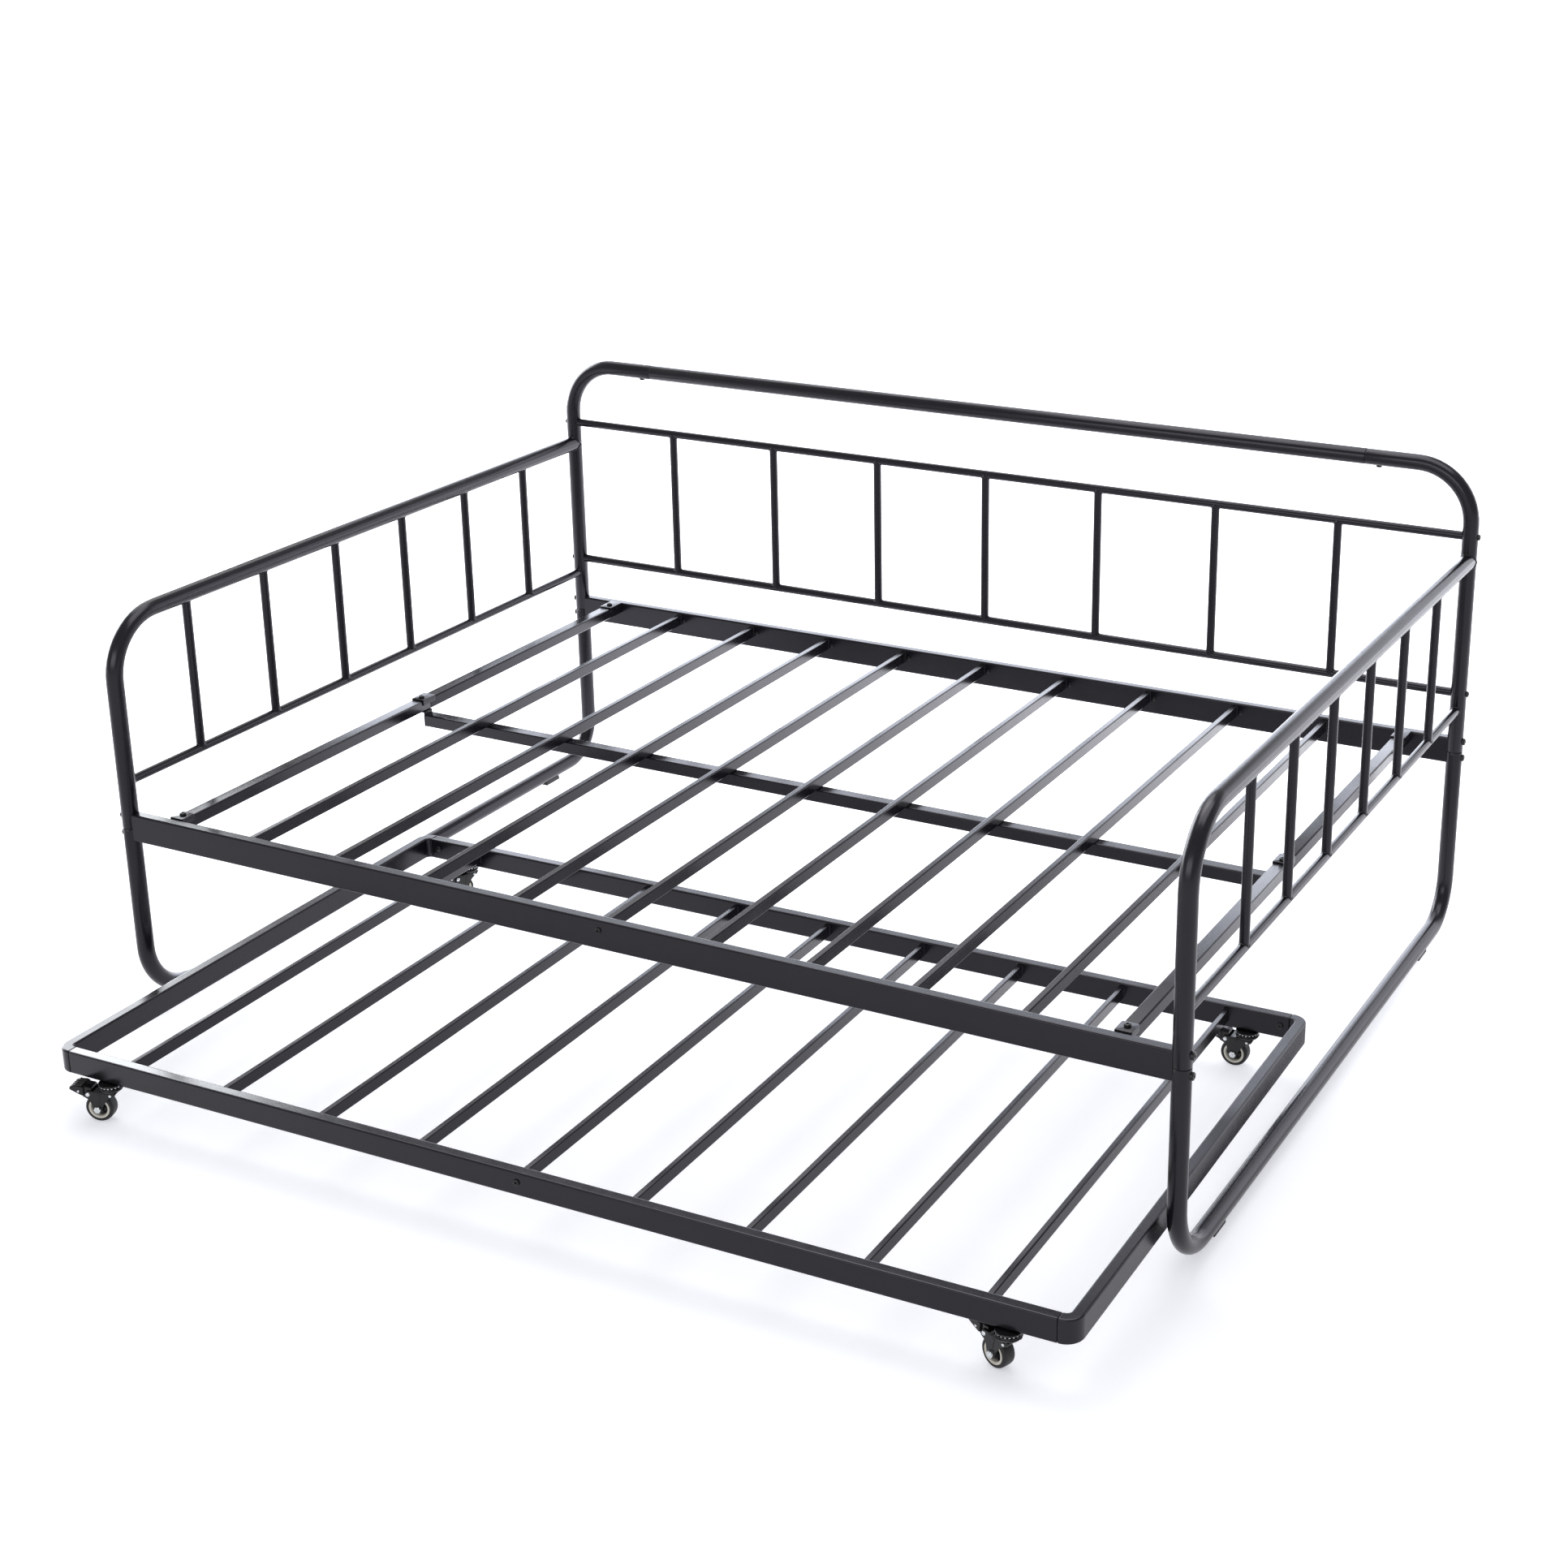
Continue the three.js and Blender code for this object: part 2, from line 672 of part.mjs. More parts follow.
addPiece("trundle_left_end", placeTrundle(trundleEnd(-1)), steel());
addPiece("trundle_right_end", placeTrundle(trundleEnd(1)), steel());
addPiece("trundle_front_rail", placeTrundle(trundleRail(-1)), steel());
addPiece("trundle_back_rail", placeTrundle(trundleRail(1)), steel());
for (let i = 0; i < SLAT_COUNT; i += 1) {
  const x = (i - (SLAT_COUNT - 1) / 2) * TRUNDLE_SLAT_PITCH;
  const endY = TRUNDLE_HALF_Y - TRUNDLE_RAIL_DEPTH - GAP;
  const tube = slatTube(x, TRUNDLE_SLAT_WIDTH, -endY, endY, TRUNDLE_SLAT_TOP_Z, SLAT_HEIGHT);
  addPiece(`trundle_slat_${i + 1}`, placeTrundle(tube), steel());
}

// ---- Casters, drawn about the swivel axis with the wheel trailing toward -X ----

function casterMount() {
  return turned([
    [0, 64.4],
    [11, 64.4],
    [12, 66],
    [MOUNT_R, 66],
    [MOUNT_R, trundleLowZ - GAP],
    [STEM_R, trundleLowZ - GAP],
    [STEM_R, STEM_TOP_Z],
    [0, STEM_TOP_Z],
  ]);
}

function casterFork() {
  const raceway = turned([
    [0, 55],
    [15, 55],
    [19, 57.5],
    [19, 62],
    [14, 64.1],
    [0, 64.1],
  ]);
  const outline = [
    [12, 56],
    [12, 51],
    [-4, 40],
    [-12.5, 20],
    [-20, 15],
    [-27.5, 20],
    [-31, 40],
    [-40, 45],
    [-39, 56],
  ];
  const outerY = CHEEK_INNER_Y + CHEEK_THICKNESS;
  const pieces = [
    raceway,
    box(-24, 12, -outerY, outerY, 52, 56),
    plate(outline, CHEEK_INNER_Y, outerY),
    plate(outline, -outerY, -CHEEK_INNER_Y),
    bar(point(-CASTER_TRAIL, -outerY, WHEEL_R), point(-CASTER_TRAIL, outerY, WHEEL_R), AXLE_R, 10),
    bar(
      point(PEDAL_PIVOT[0], -outerY - 1, PEDAL_PIVOT[1]),
      point(PEDAL_PIVOT[0], outerY + 1, PEDAL_PIVOT[1]),
      2.2,
      8,
    ),
  ];
  for (const side of [-1, 1]) {
    pieces.push(
      bar(
        point(-CASTER_TRAIL, side * (outerY - 0.5), WHEEL_R),
        point(-CASTER_TRAIL, side * (outerY + 3), WHEEL_R),
        5.5,
        6,
      ),
    );
  }
  return union(pieces);
}

function casterWheel() {
  const half = WHEEL_WIDTH / 2;
  const bore = AXLE_R + 0.5;
  const profile = [
    [bore, -half],
    [WHEEL_R - TREAD_CHAMFER, -half],
    [WHEEL_R, -half + TREAD_CHAMFER],
    [WHEEL_R, half - TREAD_CHAMFER],
    [WHEEL_R - TREAD_CHAMFER, half],
    [bore, half],
    [bore, -half],
  ];
  const wheel = turned(profile, 22);
  return wheel.rotate([90, 0, 0]).translate([-CASTER_TRAIL, 0, WHEEL_R]);
}

function casterPedal() {
  const neck = [
    [-29, 61.5],
    [-46, 63.5],
    [-46, 44],
    [-42, 41.4],
    [-34.5, 45.8],
    [-28.5, 52],
  ];
  const tread = [
    [-43, 63.2],
    [-57, 65],
    [-66, 61],
    [-66, 57.5],
    [-52, 50.5],
    [-43, 46],
  ];
  const pivot = bar(
    point(PEDAL_PIVOT[0], -20, PEDAL_PIVOT[1]),
    point(PEDAL_PIVOT[0], 20, PEDAL_PIVOT[1]),
    2.7,
    8,
  );
  return plate(neck, -11.5, 11.5).add(plate(tread, -15, 15)).subtract(pivot);
}

for (const { name, x, end, turn } of CASTERS) {
  const y = end * trundleRailY + CASTER_SHIFT_Y;
  const place = (body) => placeTrundle(body.rotate([0, 0, turn]).translate([x, y, 0]));
  addPiece(`${name}_caster_mount`, place(casterMount()), blackSteel());
  addPiece(`${name}_caster_fork`, place(casterFork()), blackSteel());
  addPiece(`${name}_caster_wheel`, place(casterWheel()), tyre());
  addPiece(`${name}_caster_pedal`, place(casterPedal()), blackSteel());
}

export default bed;
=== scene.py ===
import json
import math

import bmesh
import bpy
from mathutils import Matrix, Vector


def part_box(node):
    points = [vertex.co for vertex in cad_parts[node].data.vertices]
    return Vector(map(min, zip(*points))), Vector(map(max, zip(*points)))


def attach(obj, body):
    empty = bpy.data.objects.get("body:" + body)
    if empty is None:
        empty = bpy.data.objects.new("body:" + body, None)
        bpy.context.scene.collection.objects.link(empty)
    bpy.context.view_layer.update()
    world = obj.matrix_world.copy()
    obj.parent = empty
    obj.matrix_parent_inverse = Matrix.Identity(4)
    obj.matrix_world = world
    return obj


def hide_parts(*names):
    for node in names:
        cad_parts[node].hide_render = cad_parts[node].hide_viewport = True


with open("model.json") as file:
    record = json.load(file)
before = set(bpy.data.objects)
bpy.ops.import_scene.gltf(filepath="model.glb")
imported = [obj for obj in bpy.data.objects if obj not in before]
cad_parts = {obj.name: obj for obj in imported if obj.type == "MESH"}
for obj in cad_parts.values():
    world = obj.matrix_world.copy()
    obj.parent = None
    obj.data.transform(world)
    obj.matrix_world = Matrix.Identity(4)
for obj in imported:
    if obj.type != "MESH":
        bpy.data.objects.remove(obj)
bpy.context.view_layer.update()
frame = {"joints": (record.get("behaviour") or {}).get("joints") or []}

# Shapes below are drawn in millimetres and scaled to metres when a mesh is made.
MM = 0.001
TUBE_SIDES = 40
THIN_SIDES = 28
SHARP_ANGLE = math.radians(38)


def box_mm(node):
    """A node's lowest and highest corners at rest, in millimetres."""
    low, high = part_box(node)
    return low / MM, high / MM


def middle_mm(node):
    low, high = box_mm(node)
    return (low + high) / 2


def stood_at(middle, angle):
    """The matrix that turns a shape about Z and then moves it to the X and Y of this middle."""
    return Matrix.Translation((middle.x, middle.y, 0)) @ Matrix.Rotation(angle, 4, "Z")


# ---- Sizes: sections of the stock, and places read from the frame ----

leg_low, leg_high = box_mm("right_leg_frame")
panel_low, panel_high = box_mm("right_arm_panel")
ladder_low, ladder_high = box_mm("back_ladder")
rail_low, rail_high = box_mm("front_rail")
back_rail_high = box_mm("back_rail")[1]

TUBE_R = (leg_high.x - leg_low.x) / 2
POST_X = (leg_high.x + leg_low.x) / 2
FRONT_Y = leg_low.y + TUBE_R
BACK_Y = leg_high.y - TUBE_R
FLOOR_RAIL_Z = leg_low.z + TUBE_R
SPIGOT_LENGTH = 40
SEAM_Z = leg_high.z - SPIGOT_LENGTH
BACK_TOP_Z = panel_high.z - TUBE_R
TOP_SEAM_X = panel_low.x
ARM_TOP_Z = 726.5
ARM_LOW_Z = 439
THIN_R = 8
BEND_R = 105
BACK_LEG_BEND_R = 82
LADDER_TOP_Z = ladder_high.z - THIN_R
LADDER_LOW_Z = ladder_low.z + THIN_R
LADDER_SPINDLES = 7
LADDER_PITCH = 242.5
ARM_SPINDLES = 6
# Each arm's first spindle and the pitch of the rest, by its side.
SPINDLES = {-1: (FRONT_Y + 186.7, 201.3), 1: (FRONT_Y + 242.7, 190)}
RAIL_DEPTH = 20
RAIL_EDGE = 3.2
RAIL_LOW_Z, RAIL_TOP_Z = rail_low.z, rail_high.z
SIDE_RAIL_WIDTH = 24
SEAM_GAP = 0.9
SLATS = 9
SIDES = (("left", -1), ("right", 1))

# A spigot shows in each seam between round tubes, and reaches this far past it.
SPIGOT_R = 13
SPIGOT_REACH = 4

# Bolt heads and tube ends are sunk this far into the surface that they meet.
SINK = 0.4

# Bolt heads: radius, height, and width of the socket across its flats.
POST_BOLT = (6.4, 4.6, 4.6)
LADDER_BOLT = (5.4, 4.2, 3.8)
TOP_BOLT = (5.6, 3.2, 3.8)
MIDDLE_BOLT = (5.4, 3.0, 3.6)
SIDE_RAIL_BOLT = (5.8, 4.6, 4.2)
TRUNDLE_BOLT = (5.8, 3.2, 3.8)
RIVET = (4.0, 3.0, 2.4)

X_AXIS = Vector((1, 0, 0))
Y_AXIS = Vector((0, 1, 0))
Z_AXIS = Vector((0, 0, 1))


# ---- Mesh building ----


class Shape:
    """Vertices and faces in millimetres, which make() turns into one piece of one material."""

    def __init__(self, matrix=None):
        self.verts = []
        self.faces = []
        self.matrix = matrix or Matrix.Identity(4)

    def ring(self, points):
        """Adds the points and returns their numbers."""
        start = len(self.verts)
        self.verts.extend(self.matrix @ Vector(p) for p in points)
        return list(range(start, len(self.verts)))

    def bridge(self, a, b):
        """Adds the band of faces between two rings."""
        count = len(a)
        for i in range(count):
            j = (i + 1) % count
            self.faces.append((a[i], a[j], b[j], b[i]))

    def skin(self, rings, closed=False):
        """Joins the rings in turn. The ends are capped, or joined to each other if it is closed."""
        for a, b in zip(rings, rings[1:]):
            self.bridge(a, b)
        if closed:
            self.bridge(rings[-1], rings[0])
        else:
            self.faces.append(tuple(reversed(rings[0])))
            self.faces.append(tuple(rings[-1]))

    def make(self, name, body, material, slot, replaces=()):
        """Makes the piece, which rides on the body and stands for the nodes that it replaces."""
        mesh = bpy.data.meshes.new(name)
        mesh.from_pydata([v * MM for v in self.verts], [], self.faces)
        work = bmesh.new()
        work.from_mesh(mesh)
        bmesh.ops.recalc_face_normals(work, faces=work.faces)
        work.to_mesh(mesh)
        work.free()
        mesh.shade_smooth()
        mesh.set_sharp_from_angle(angle=SHARP_ANGLE)
        mesh.materials.append(material)
        piece = bpy.data.objects.new(name, mesh)
        bpy.context.scene.collection.objects.link(piece)
        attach(piece, body)
        if replaces:
            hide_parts(*replaces)


# No ring shrinks to a point, so that the cap on it is a real face.
LEAST_RADIUS = 0.02


def circle(radius, sides):
    turn = 2 * math.pi / sides
    return [(radius * math.cos(i * turn), radius * math.sin(i * turn)) for i in range(sides)]


def rounded_rect(width, height, edge, steps=4, support=0.5):
    """A rectangle with round corners; a support point on each flat keeps the flats shading flat."""
    points = []
    for k in range(4):
        start = k * math.pi / 2
        sx = 1 if k in (0, 3) else -1
        sy = 1 if k in (0, 1) else -1
        cx = sx * (width / 2 - edge)
        cy = sy * (height / 2 - edge)
        before = (math.sin(start), -math.cos(start))
        first = (cx + edge * math.cos(start), cy + edge * math.sin(start))
        points.append((first[0] + support * before[0], first[1] + support * before[1]))
        for i in range(steps + 1):
            angle = start + i * math.pi / 2 / steps
            points.append((cx + edge * math.cos(angle), cy + edge * math.sin(angle)))
        end = start + math.pi / 2
        after = (-math.sin(end), math.cos(end))
        points.append((points[-1][0] + support * after[0], points[-1][1] + support * after[1]))
    return points


def bend_path(corners, radius, steps=14):
    """The corners joined by straight runs and round bends. radius may be a list, one per bend."""
    radii = radius if isinstance(radius, (list, tuple)) else [radius] * (len(corners) - 2)
    path = [Vector(corners[0])]
    for i in range(1, len(corners) - 1):
        corner = Vector(corners[i])
        a = (Vector(corners[i - 1]) - corner).normalized()
        b = (Vector(corners[i + 1]) - corner).normalized()
        half = math.acos(max(-1, min(1, a.dot(b)))) / 2
        r = radii[i - 1]
        centre = corner + (a + b).normalized() * (r / math.sin(half))
        start = corner + a * (r / math.tan(half)) - centre
        end = corner + b * (r / math.tan(half)) - centre
        total = math.acos(max(-1, min(1, start.dot(end) / r / r)))
        for k in range(steps + 1):
            t = k / steps
            mixed = start * math.sin((1 - t) * total) + end * math.sin(t * total)
            path.append(centre + mixed / math.sin(total))
    path.append(Vector(corners[-1]))
    return path


def shrink(profile, amount):
    """The profile moved in from each side by about this much."""
    wide = max(abs(a) for a, _ in profile)
    tall = max(abs(c) for _, c in profile)
    return [(a * (1 - amount / wide), c * (1 - amount / tall)) for a, c in profile]


# The rim of an eased end turns a quarter, with a ring at each of these angles.
END_TURNS = (0, 30, 60, 90)


def sweep(shape, path, profile, normal, ease=(0.6, 0.6), trims=(None, None)):
    """A profile carried along a flat path whose plane has this normal.

    Each end is eased round, or cut to the shape that its trim gives: trim(a, c) says how far in
    from the path's end the rim starts at the point a along the normal and c across it.
    """
    path = [Vector(p) for p in path]
    count = len(path)
    steps = [(b - a).normalized() for a, b in zip(path, path[1:])]
    bends = [(after + before).normalized() for before, after in zip(steps, steps[1:])]
    tangents = [steps[0], *bends, steps[-1]]

    def points(i, section, along=0.0, trim=None, way=1):
        side = tangents[i].cross(normal).normalized()
        found = []
        for a, c in section:
            cut = trim(a, c) if trim else 0
            found.append(path[i] + normal * a + side * c + tangents[i] * (along + way * cut))
        return found

    rings = []
    for i in range(count):
        first, last = i == 0, i == count - 1
        if not (first or last):
            rings.append(shape.ring(points(i, profile)))
            continue
        end = 0 if first else 1
        way = 1 if first else -1
        if trims[end]:
            rings.append(shape.ring(points(i, profile, 0, trims[end], way)))
            continue
        made = []
        for degrees in END_TURNS:
            angle = math.radians(degrees)
            inset = ease[end] * (1 - math.sin(angle))
            back = ease[end] * (1 - math.cos(angle))
            made.append(shape.ring(points(i, shrink(profile, inset), way * back)))
        rings.extend(made if first else reversed(made))
    shape.skin(rings)


def perpendicular(axis):
    """A unit vector square to the axis."""
    other = Z_AXIS if abs(axis.z) < 0.9 else X_AXIS
    return axis.cross(other).normalized()


def rod(shape, a, b, radius, sides=TUBE_SIDES):
    a, b = Vector(a), Vector(b)
    sweep(shape, [a, b], circle(radius, sides), perpendicular((b - a).normalized()))


def lathe(shape, profile, origin=(0, 0, 0), axis=Z_AXIS, sides=32, closed=False):
    """(radius, height) pairs turned about an axis. A radius of 0 all but closes the end."""
    axis = Vector(axis).normalized()
    u = perpendicular(axis)
    v = axis.cross(u)
    origin = Vector(origin)
    rings = []
    for radius, height in profile:
        r = max(radius, LEAST_RADIUS)
        rings.append(
            shape.ring([origin + u * a + v * c + axis * height for a, c in circle(r, sides)])
        )
    shape.skin(rings, closed)


def hexagon_radius(angle, across_flats):
    """How far a hexagon's edge is from its middle at this angle."""
    sector = math.radians(60)
    return across_flats / 2 / math.cos((angle % sector) - sector / 2)


HEAD_SIDES = 36
# A button head's outline: share of its radius, and share of its height.
BUTTON_DOME = [(1.0, -0.6), (1.0, 0.52), (0.985, 0.68), (0.94, 0.84), (0.87, 0.95), (0.78, 1.0)]


def head_ring(shape, origin, axis, up, size):
    """A ring round a bolt's axis, where size(angle) gives its radius."""
    origin, axis = Vector(origin), Vector(axis).normalized()
    u = perpendicular(axis)
    v = axis.cross(u)
    found = []
    for i in range(HEAD_SIDES):
        angle = i * 2 * math.pi / HEAD_SIDES
        r = size(angle)
        found.append(origin + u * (r * math.cos(angle)) + v * (r * math.sin(angle)) + axis * up)
    return shape.ring(found)


def button_bolt(shape, origin, axis, size):
    """A round bolt head with a hexagonal socket, standing on origin along axis."""
    radius, height, across = size
    rings = [
        head_ring(shape, origin, axis, up * height, lambda _angle, r=share * radius: r)
        for share, up in BUTTON_DOME
    ]
    socket = [(across + 0.6, height), (across, height - 0.35), (across, height - 2.3)]
    for flats, up in socket:
        rings.append(
            head_ring(shape, origin, axis, up, lambda angle, w=flats: hexagon_radius(angle, w))
        )
    rings.append(head_ring(shape, origin, axis, height - 2.7, lambda _angle: 0.3))
    shape.skin(rings)


def hex_nut(shape, origin, axis, across, height):
    """A hexagonal nut with a turned chamfer."""

    def size(angle, trim):
        r = hexagon_radius(angle, across)
        return min(r, across / 2 * 1.04) - trim if trim else r

    levels = ((0, 0), (0, height * 0.8), (0.55, height), (across * 0.3, height + 0.15))
    rings = [
        head_ring(shape, origin, axis, up, lambda angle, t=trim: size(angle, t))
        for trim, up in levels
    ]
    shape.skin(rings)


# Welds: the bead's radius, its cross-section at a radius of 1, and the steps round a tube.
WELD = 1.5
BEAD_SECTION = circle(1, 8)
WELD_STEPS = 36


def saddle_weld(shape, centre, axis, radius, host_axis, host_radius, bead=WELD):
    """A weld bead where a round tube leaves a round host tube, along the saddle between them.

    Its thickness wavers, as a hand-laid bead's does.
    """
    axis, host_axis = Vector(axis).normalized(), Vector(host_axis).normalized()
    across = axis.cross(host_axis)
    centre = Vector(centre)
    rings = []
    for i in range(WELD_STEPS):
        angle = i * 2 * math.pi / WELD_STEPS
        radial = host_axis * math.cos(angle) + across * math.sin(angle)
        reach = math.sqrt(max(host_radius**2 - (radius * math.sin(angle)) ** 2, 0.01))
        at = centre + radial * radius + axis * reach
        thick = bead * (1 + 0.13 * math.sin(9 * angle) + 0.07 * math.sin(17 * angle + 1))
        rings.append(
            shape.ring([at + radial * (thick * a) + axis * (thick * c) for a, c in BEAD_SECTION])
        )
    shape.skin(rings, closed=True)


def flat_weld(shape, centre, u, v, width, height, out, bead=0.9):
    """A weld bead round the end of a rectangular tube where it meets a flat face."""
    centre, u, v, out = Vector(centre), Vector(u), Vector(v), Vector(out)
    outline = rounded_rect(width, height, 2.4, steps=3, support=0.4)
    rings = []
    for k, (a, c) in enumerate(outline):
        at = centre + u * a + v * c
        radial = (u * a / width + v * c / height).normalized()
        thick = bead * (1 + 0.15 * math.sin(k * 2.3))
        rings.append(
            shape.ring([at + radial * (thick * x) + out * (thick * y) for x, y in BEAD_SECTION])
        )
    shape.skin(rings, closed=True)


def offset_outline(outline, amount):
    """A closed outline, which runs anticlockwise, moved in by amount."""
    count = len(outline)
    moved = []
    for i in range(count):
        p, q, r = outline[i - 1], outline[i], outline[(i + 1) % count]
        d1 = Vector((q[0] - p[0], q[1] - p[1])).normalized()
        d2 = Vector((r[0] - q[0], r[1] - q[1])).normalized()
        n1, n2 = Vector((-d1.y, d1.x)), Vector((-d2.y, d2.x))
        bisector = (n1 + n2).normalized()
        reach = amount / max(bisector.dot(n1), 0.5)
        moved.append((q[0] + bisector.x * reach, q[1] + bisector.y * reach))
    return moved


def round_outline(corners, radius, steps=4):
    """A closed outline with each corner rounded. radius may be a list, one per corner."""
    radii = radius if isinstance(radius, (list, tuple)) else [radius] * len(corners)
    points = []
    count = len(corners)
    for i in range(count):
        p = Vector(corners[i - 1])
        q = Vector(corners[i])
        r = Vector(corners[(i + 1) % count])
        a, b = (p - q), (r - q)
        cut = min(radii[i], a.length * 0.49, b.length * 0.49)
        start, end = q + a.normalized() * cut, q + b.normalized() * cut
        for k in range(steps + 1):
            t = k / steps
            points.append(tuple(start * (1 - t) ** 2 + q * (2 * t * (1 - t)) + end * t * t))
    return points


def area_of(outline):
    """The area inside an outline, negative if it runs clockwise."""
    count = len(outline)
    total = 0
    for i in range(count):
        p, q = outline[i], outline[(i + 1) % count]
        total += p[0] * q[1] - q[0] * p[1]
    return total / 2


def plate(shape, outline, y0, y1, chamfer):
    """An outline in X and Z given thickness along Y, with eased edges."""
    if area_of(outline) < 0:
        outline = list(reversed(outline))
    inner = offset_outline(outline, chamfer)
    rings = [
        shape.ring([(x, y0, z) for x, z in inner]),
        shape.ring([(x, y0 + chamfer, z) for x, z in outline]),
        shape.ring([(x, y1 - chamfer, z) for x, z in outline]),
        shape.ring([(x, y1, z) for x, z in inner]),
    ]
    shape.skin(rings)


def slab(shape, x0, x1, y0, y1, z0, z1, edge):
    """A flat piece with rounded upright corners and eased rims."""
    middle = Vector(((x0 + x1) / 2, (y0 + y1) / 2, 0))
    profile = rounded_rect(x1 - x0, y1 - y0, edge, steps=3, support=0.2)
    start = middle + Vector((0, 0, z0))
    end = middle + Vector((0, 0, z1))
    sweep(shape, [start, end], profile, X_AXIS, ease=(0.3, 0.3))


# ---- Materials ----

# Noise scales are in cells to the metre, and bump depths in metres.
NOISE_ROUGHNESS = 0.55
DRIFT_SCALE = 7.0
PATCH_SCALE = 34.0
SPECK_SHARE = 0.4
SPECK_TO_GRAIN_SCALE = 0.45
WAVE_STRENGTH = 0.05
WAVE_DEPTH = 0.0004
GRAIN_DEPTH = 0.00015
COAT_ROUGHNESS = 0.12


def new_material(name):
    material = bpy.data.materials.new(name)
    material.use_nodes = True
    nodes = material.node_tree.nodes
    nodes.clear()
    out = nodes.new("ShaderNodeOutputMaterial")
    shader = nodes.new("ShaderNodeBsdfPrincipled")
    material.node_tree.links.new(shader.outputs["BSDF"], out.inputs["Surface"])
    return material, nodes, material.node_tree.links, shader


def noise(nodes, links, coordinate, scale, detail=3.0):
    node = nodes.new("ShaderNodeTexNoise")
    node.inputs["Scale"].default_value = scale
    node.inputs["Detail"].default_value = detail
    node.inputs["Roughness"].default_value = NOISE_ROUGHNESS
    links.new(coordinate, node.inputs["Vector"])
    return node


def ramp(nodes, links, value, stops):
    node = nodes.new("ShaderNodeValToRGB")
    while len(node.color_ramp.elements) < len(stops):
        node.color_ramp.elements.new(0.5)
    for element, (position, colour) in zip(node.color_ramp.elements, stops):
        element.position = position
        element.color = (*colour, 1)
    links.new(value, node.inputs["Fac"])
    return node


def map_range(nodes, links, value, low, high):
    node = nodes.new("ShaderNodeMapRange")
    node.inputs["To Min"].default_value = low
    node.inputs["To Max"].default_value = high
    links.new(value, node.inputs["Value"])
    return node


def bump(nodes, links, height, strength, distance, below=None):
    node = nodes.new("ShaderNodeBump")
    node.inputs["Strength"].default_value = strength
    node.inputs["Distance"].default_value = distance
    links.new(height, node.inputs["Height"])
    if below is not None:
        links.new(below.outputs["Normal"], node.inputs["Normal"])
    return node


def coated(
    name,
    stops,
    rough,
    grain_scale,
    grain_strength,
    metallic=0.0,
    coat=0.0,
    specular=0.5,
    tint=(1, 1, 1),
):
    """A painted, plated or moulded surface.

    It has a slow drift and fine specks of colour between the stops, gloss that goes in patches
    through the range in rough, a fine grain, and a soft waviness.
    """
    material, nodes, links, shader = new_material(name)
    place = nodes.new("ShaderNodeTexCoord").outputs["Object"]
    drift = noise(nodes, links, place, DRIFT_SCALE, 4.0)
    fine = noise(nodes, links, place, grain_scale, 2.0)
    patch = noise(nodes, links, place, PATCH_SCALE, 3.0)
    speck = noise(nodes, links, place, grain_scale * SPECK_TO_GRAIN_SCALE, 1.0)
    mixed = nodes.new("ShaderNodeMix")
    mixed.inputs["Factor"].default_value = SPECK_SHARE
    links.new(drift.outputs["Fac"], mixed.inputs["A"])
    links.new(speck.outputs["Fac"], mixed.inputs["B"])
    colour = ramp(nodes, links, mixed.outputs["Result"], stops)
    links.new(colour.outputs["Color"], shader.inputs["Base Color"])
    gloss = map_range(nodes, links, patch.outputs["Fac"], rough[0], rough[1])
    links.new(gloss.outputs["Result"], shader.inputs["Roughness"])
    wave = bump(nodes, links, patch.outputs["Fac"], WAVE_STRENGTH, WAVE_DEPTH)
    grain = bump(nodes, links, fine.outputs["Fac"], grain_strength, GRAIN_DEPTH, wave)
    links.new(grain.outputs["Normal"], shader.inputs["Normal"])
    shader.inputs["Metallic"].default_value = metallic
    shader.inputs["Coat Weight"].default_value = coat
    shader.inputs["Coat Roughness"].default_value = COAT_ROUGHNESS
    shader.inputs["Specular IOR Level"].default_value = specular
    shader.inputs["Specular Tint"].default_value = (*tint, 1)
    return material


powder_coat = coated(
    "powder_coat",
    [
        (0.30, (0.0040, 0.0036, 0.0052)),
        (0.52, (0.0058, 0.0053, 0.0074)),
        (0.72, (0.0082, 0.0075, 0.0100)),
    ],
    (0.18, 0.28),
    1100.0,
    0.12,
    specular=0.34,
    tint=(0.93, 0.90, 1.0),
)
gloss_black = coated(
    "gloss_black_steel",
    [
        (0.30, (0.0040, 0.0040, 0.0044)),
        (0.55, (0.0062, 0.0062, 0.0066)),
        (0.75, (0.0090, 0.0090, 0.0094)),
    ],
    (0.11, 0.20),
    700.0,
    0.12,
    coat=0.12,
    specular=0.30,
)
bolt_black = coated(
    "bolt_black_oxide",
    [
        (0.30, (0.0060, 0.0060, 0.0066)),
        (0.55, (0.0100, 0.0100, 0.0108)),
        (0.75, (0.0160, 0.0160, 0.0170)),
    ],
    (0.24, 0.36),
    1500.0,
    0.15,
    metallic=0.35,
)
# The tyre's own black, which is also used as painted shade on the hub's web and spokes.
tyre_black_and_hub_shade = coated(
    "tyre_black_and_hub_shade",
    [
        (0.30, (0.0100, 0.0098, 0.0105)),
        (0.55, (0.0150, 0.0146, 0.0158)),
        (0.75, (0.0210, 0.0205, 0.0220)),
    ],
    (0.40, 0.54),
    900.0,
    0.25,
    specular=0.32,
)
hub_cream = coated(
    "hub_cream",
    [
        (0.30, (0.600, 0.570, 0.480)),
        (0.55, (0.690, 0.660, 0.570)),
        (0.75, (0.760, 0.735, 0.650)),
    ],
    (0.38, 0.50),
    600.0,
    0.12,
)
zinc = coated(
    "zinc_plated",
    [
        (0.30, (0.560, 0.585, 0.600)),
        (0.55, (0.660, 0.680, 0.695)),
        (0.75, (0.760, 0.770, 0.780)),
    ],
    (0.20, 0.36),
    1300.0,
    0.20,
    metallic=1.0,
)
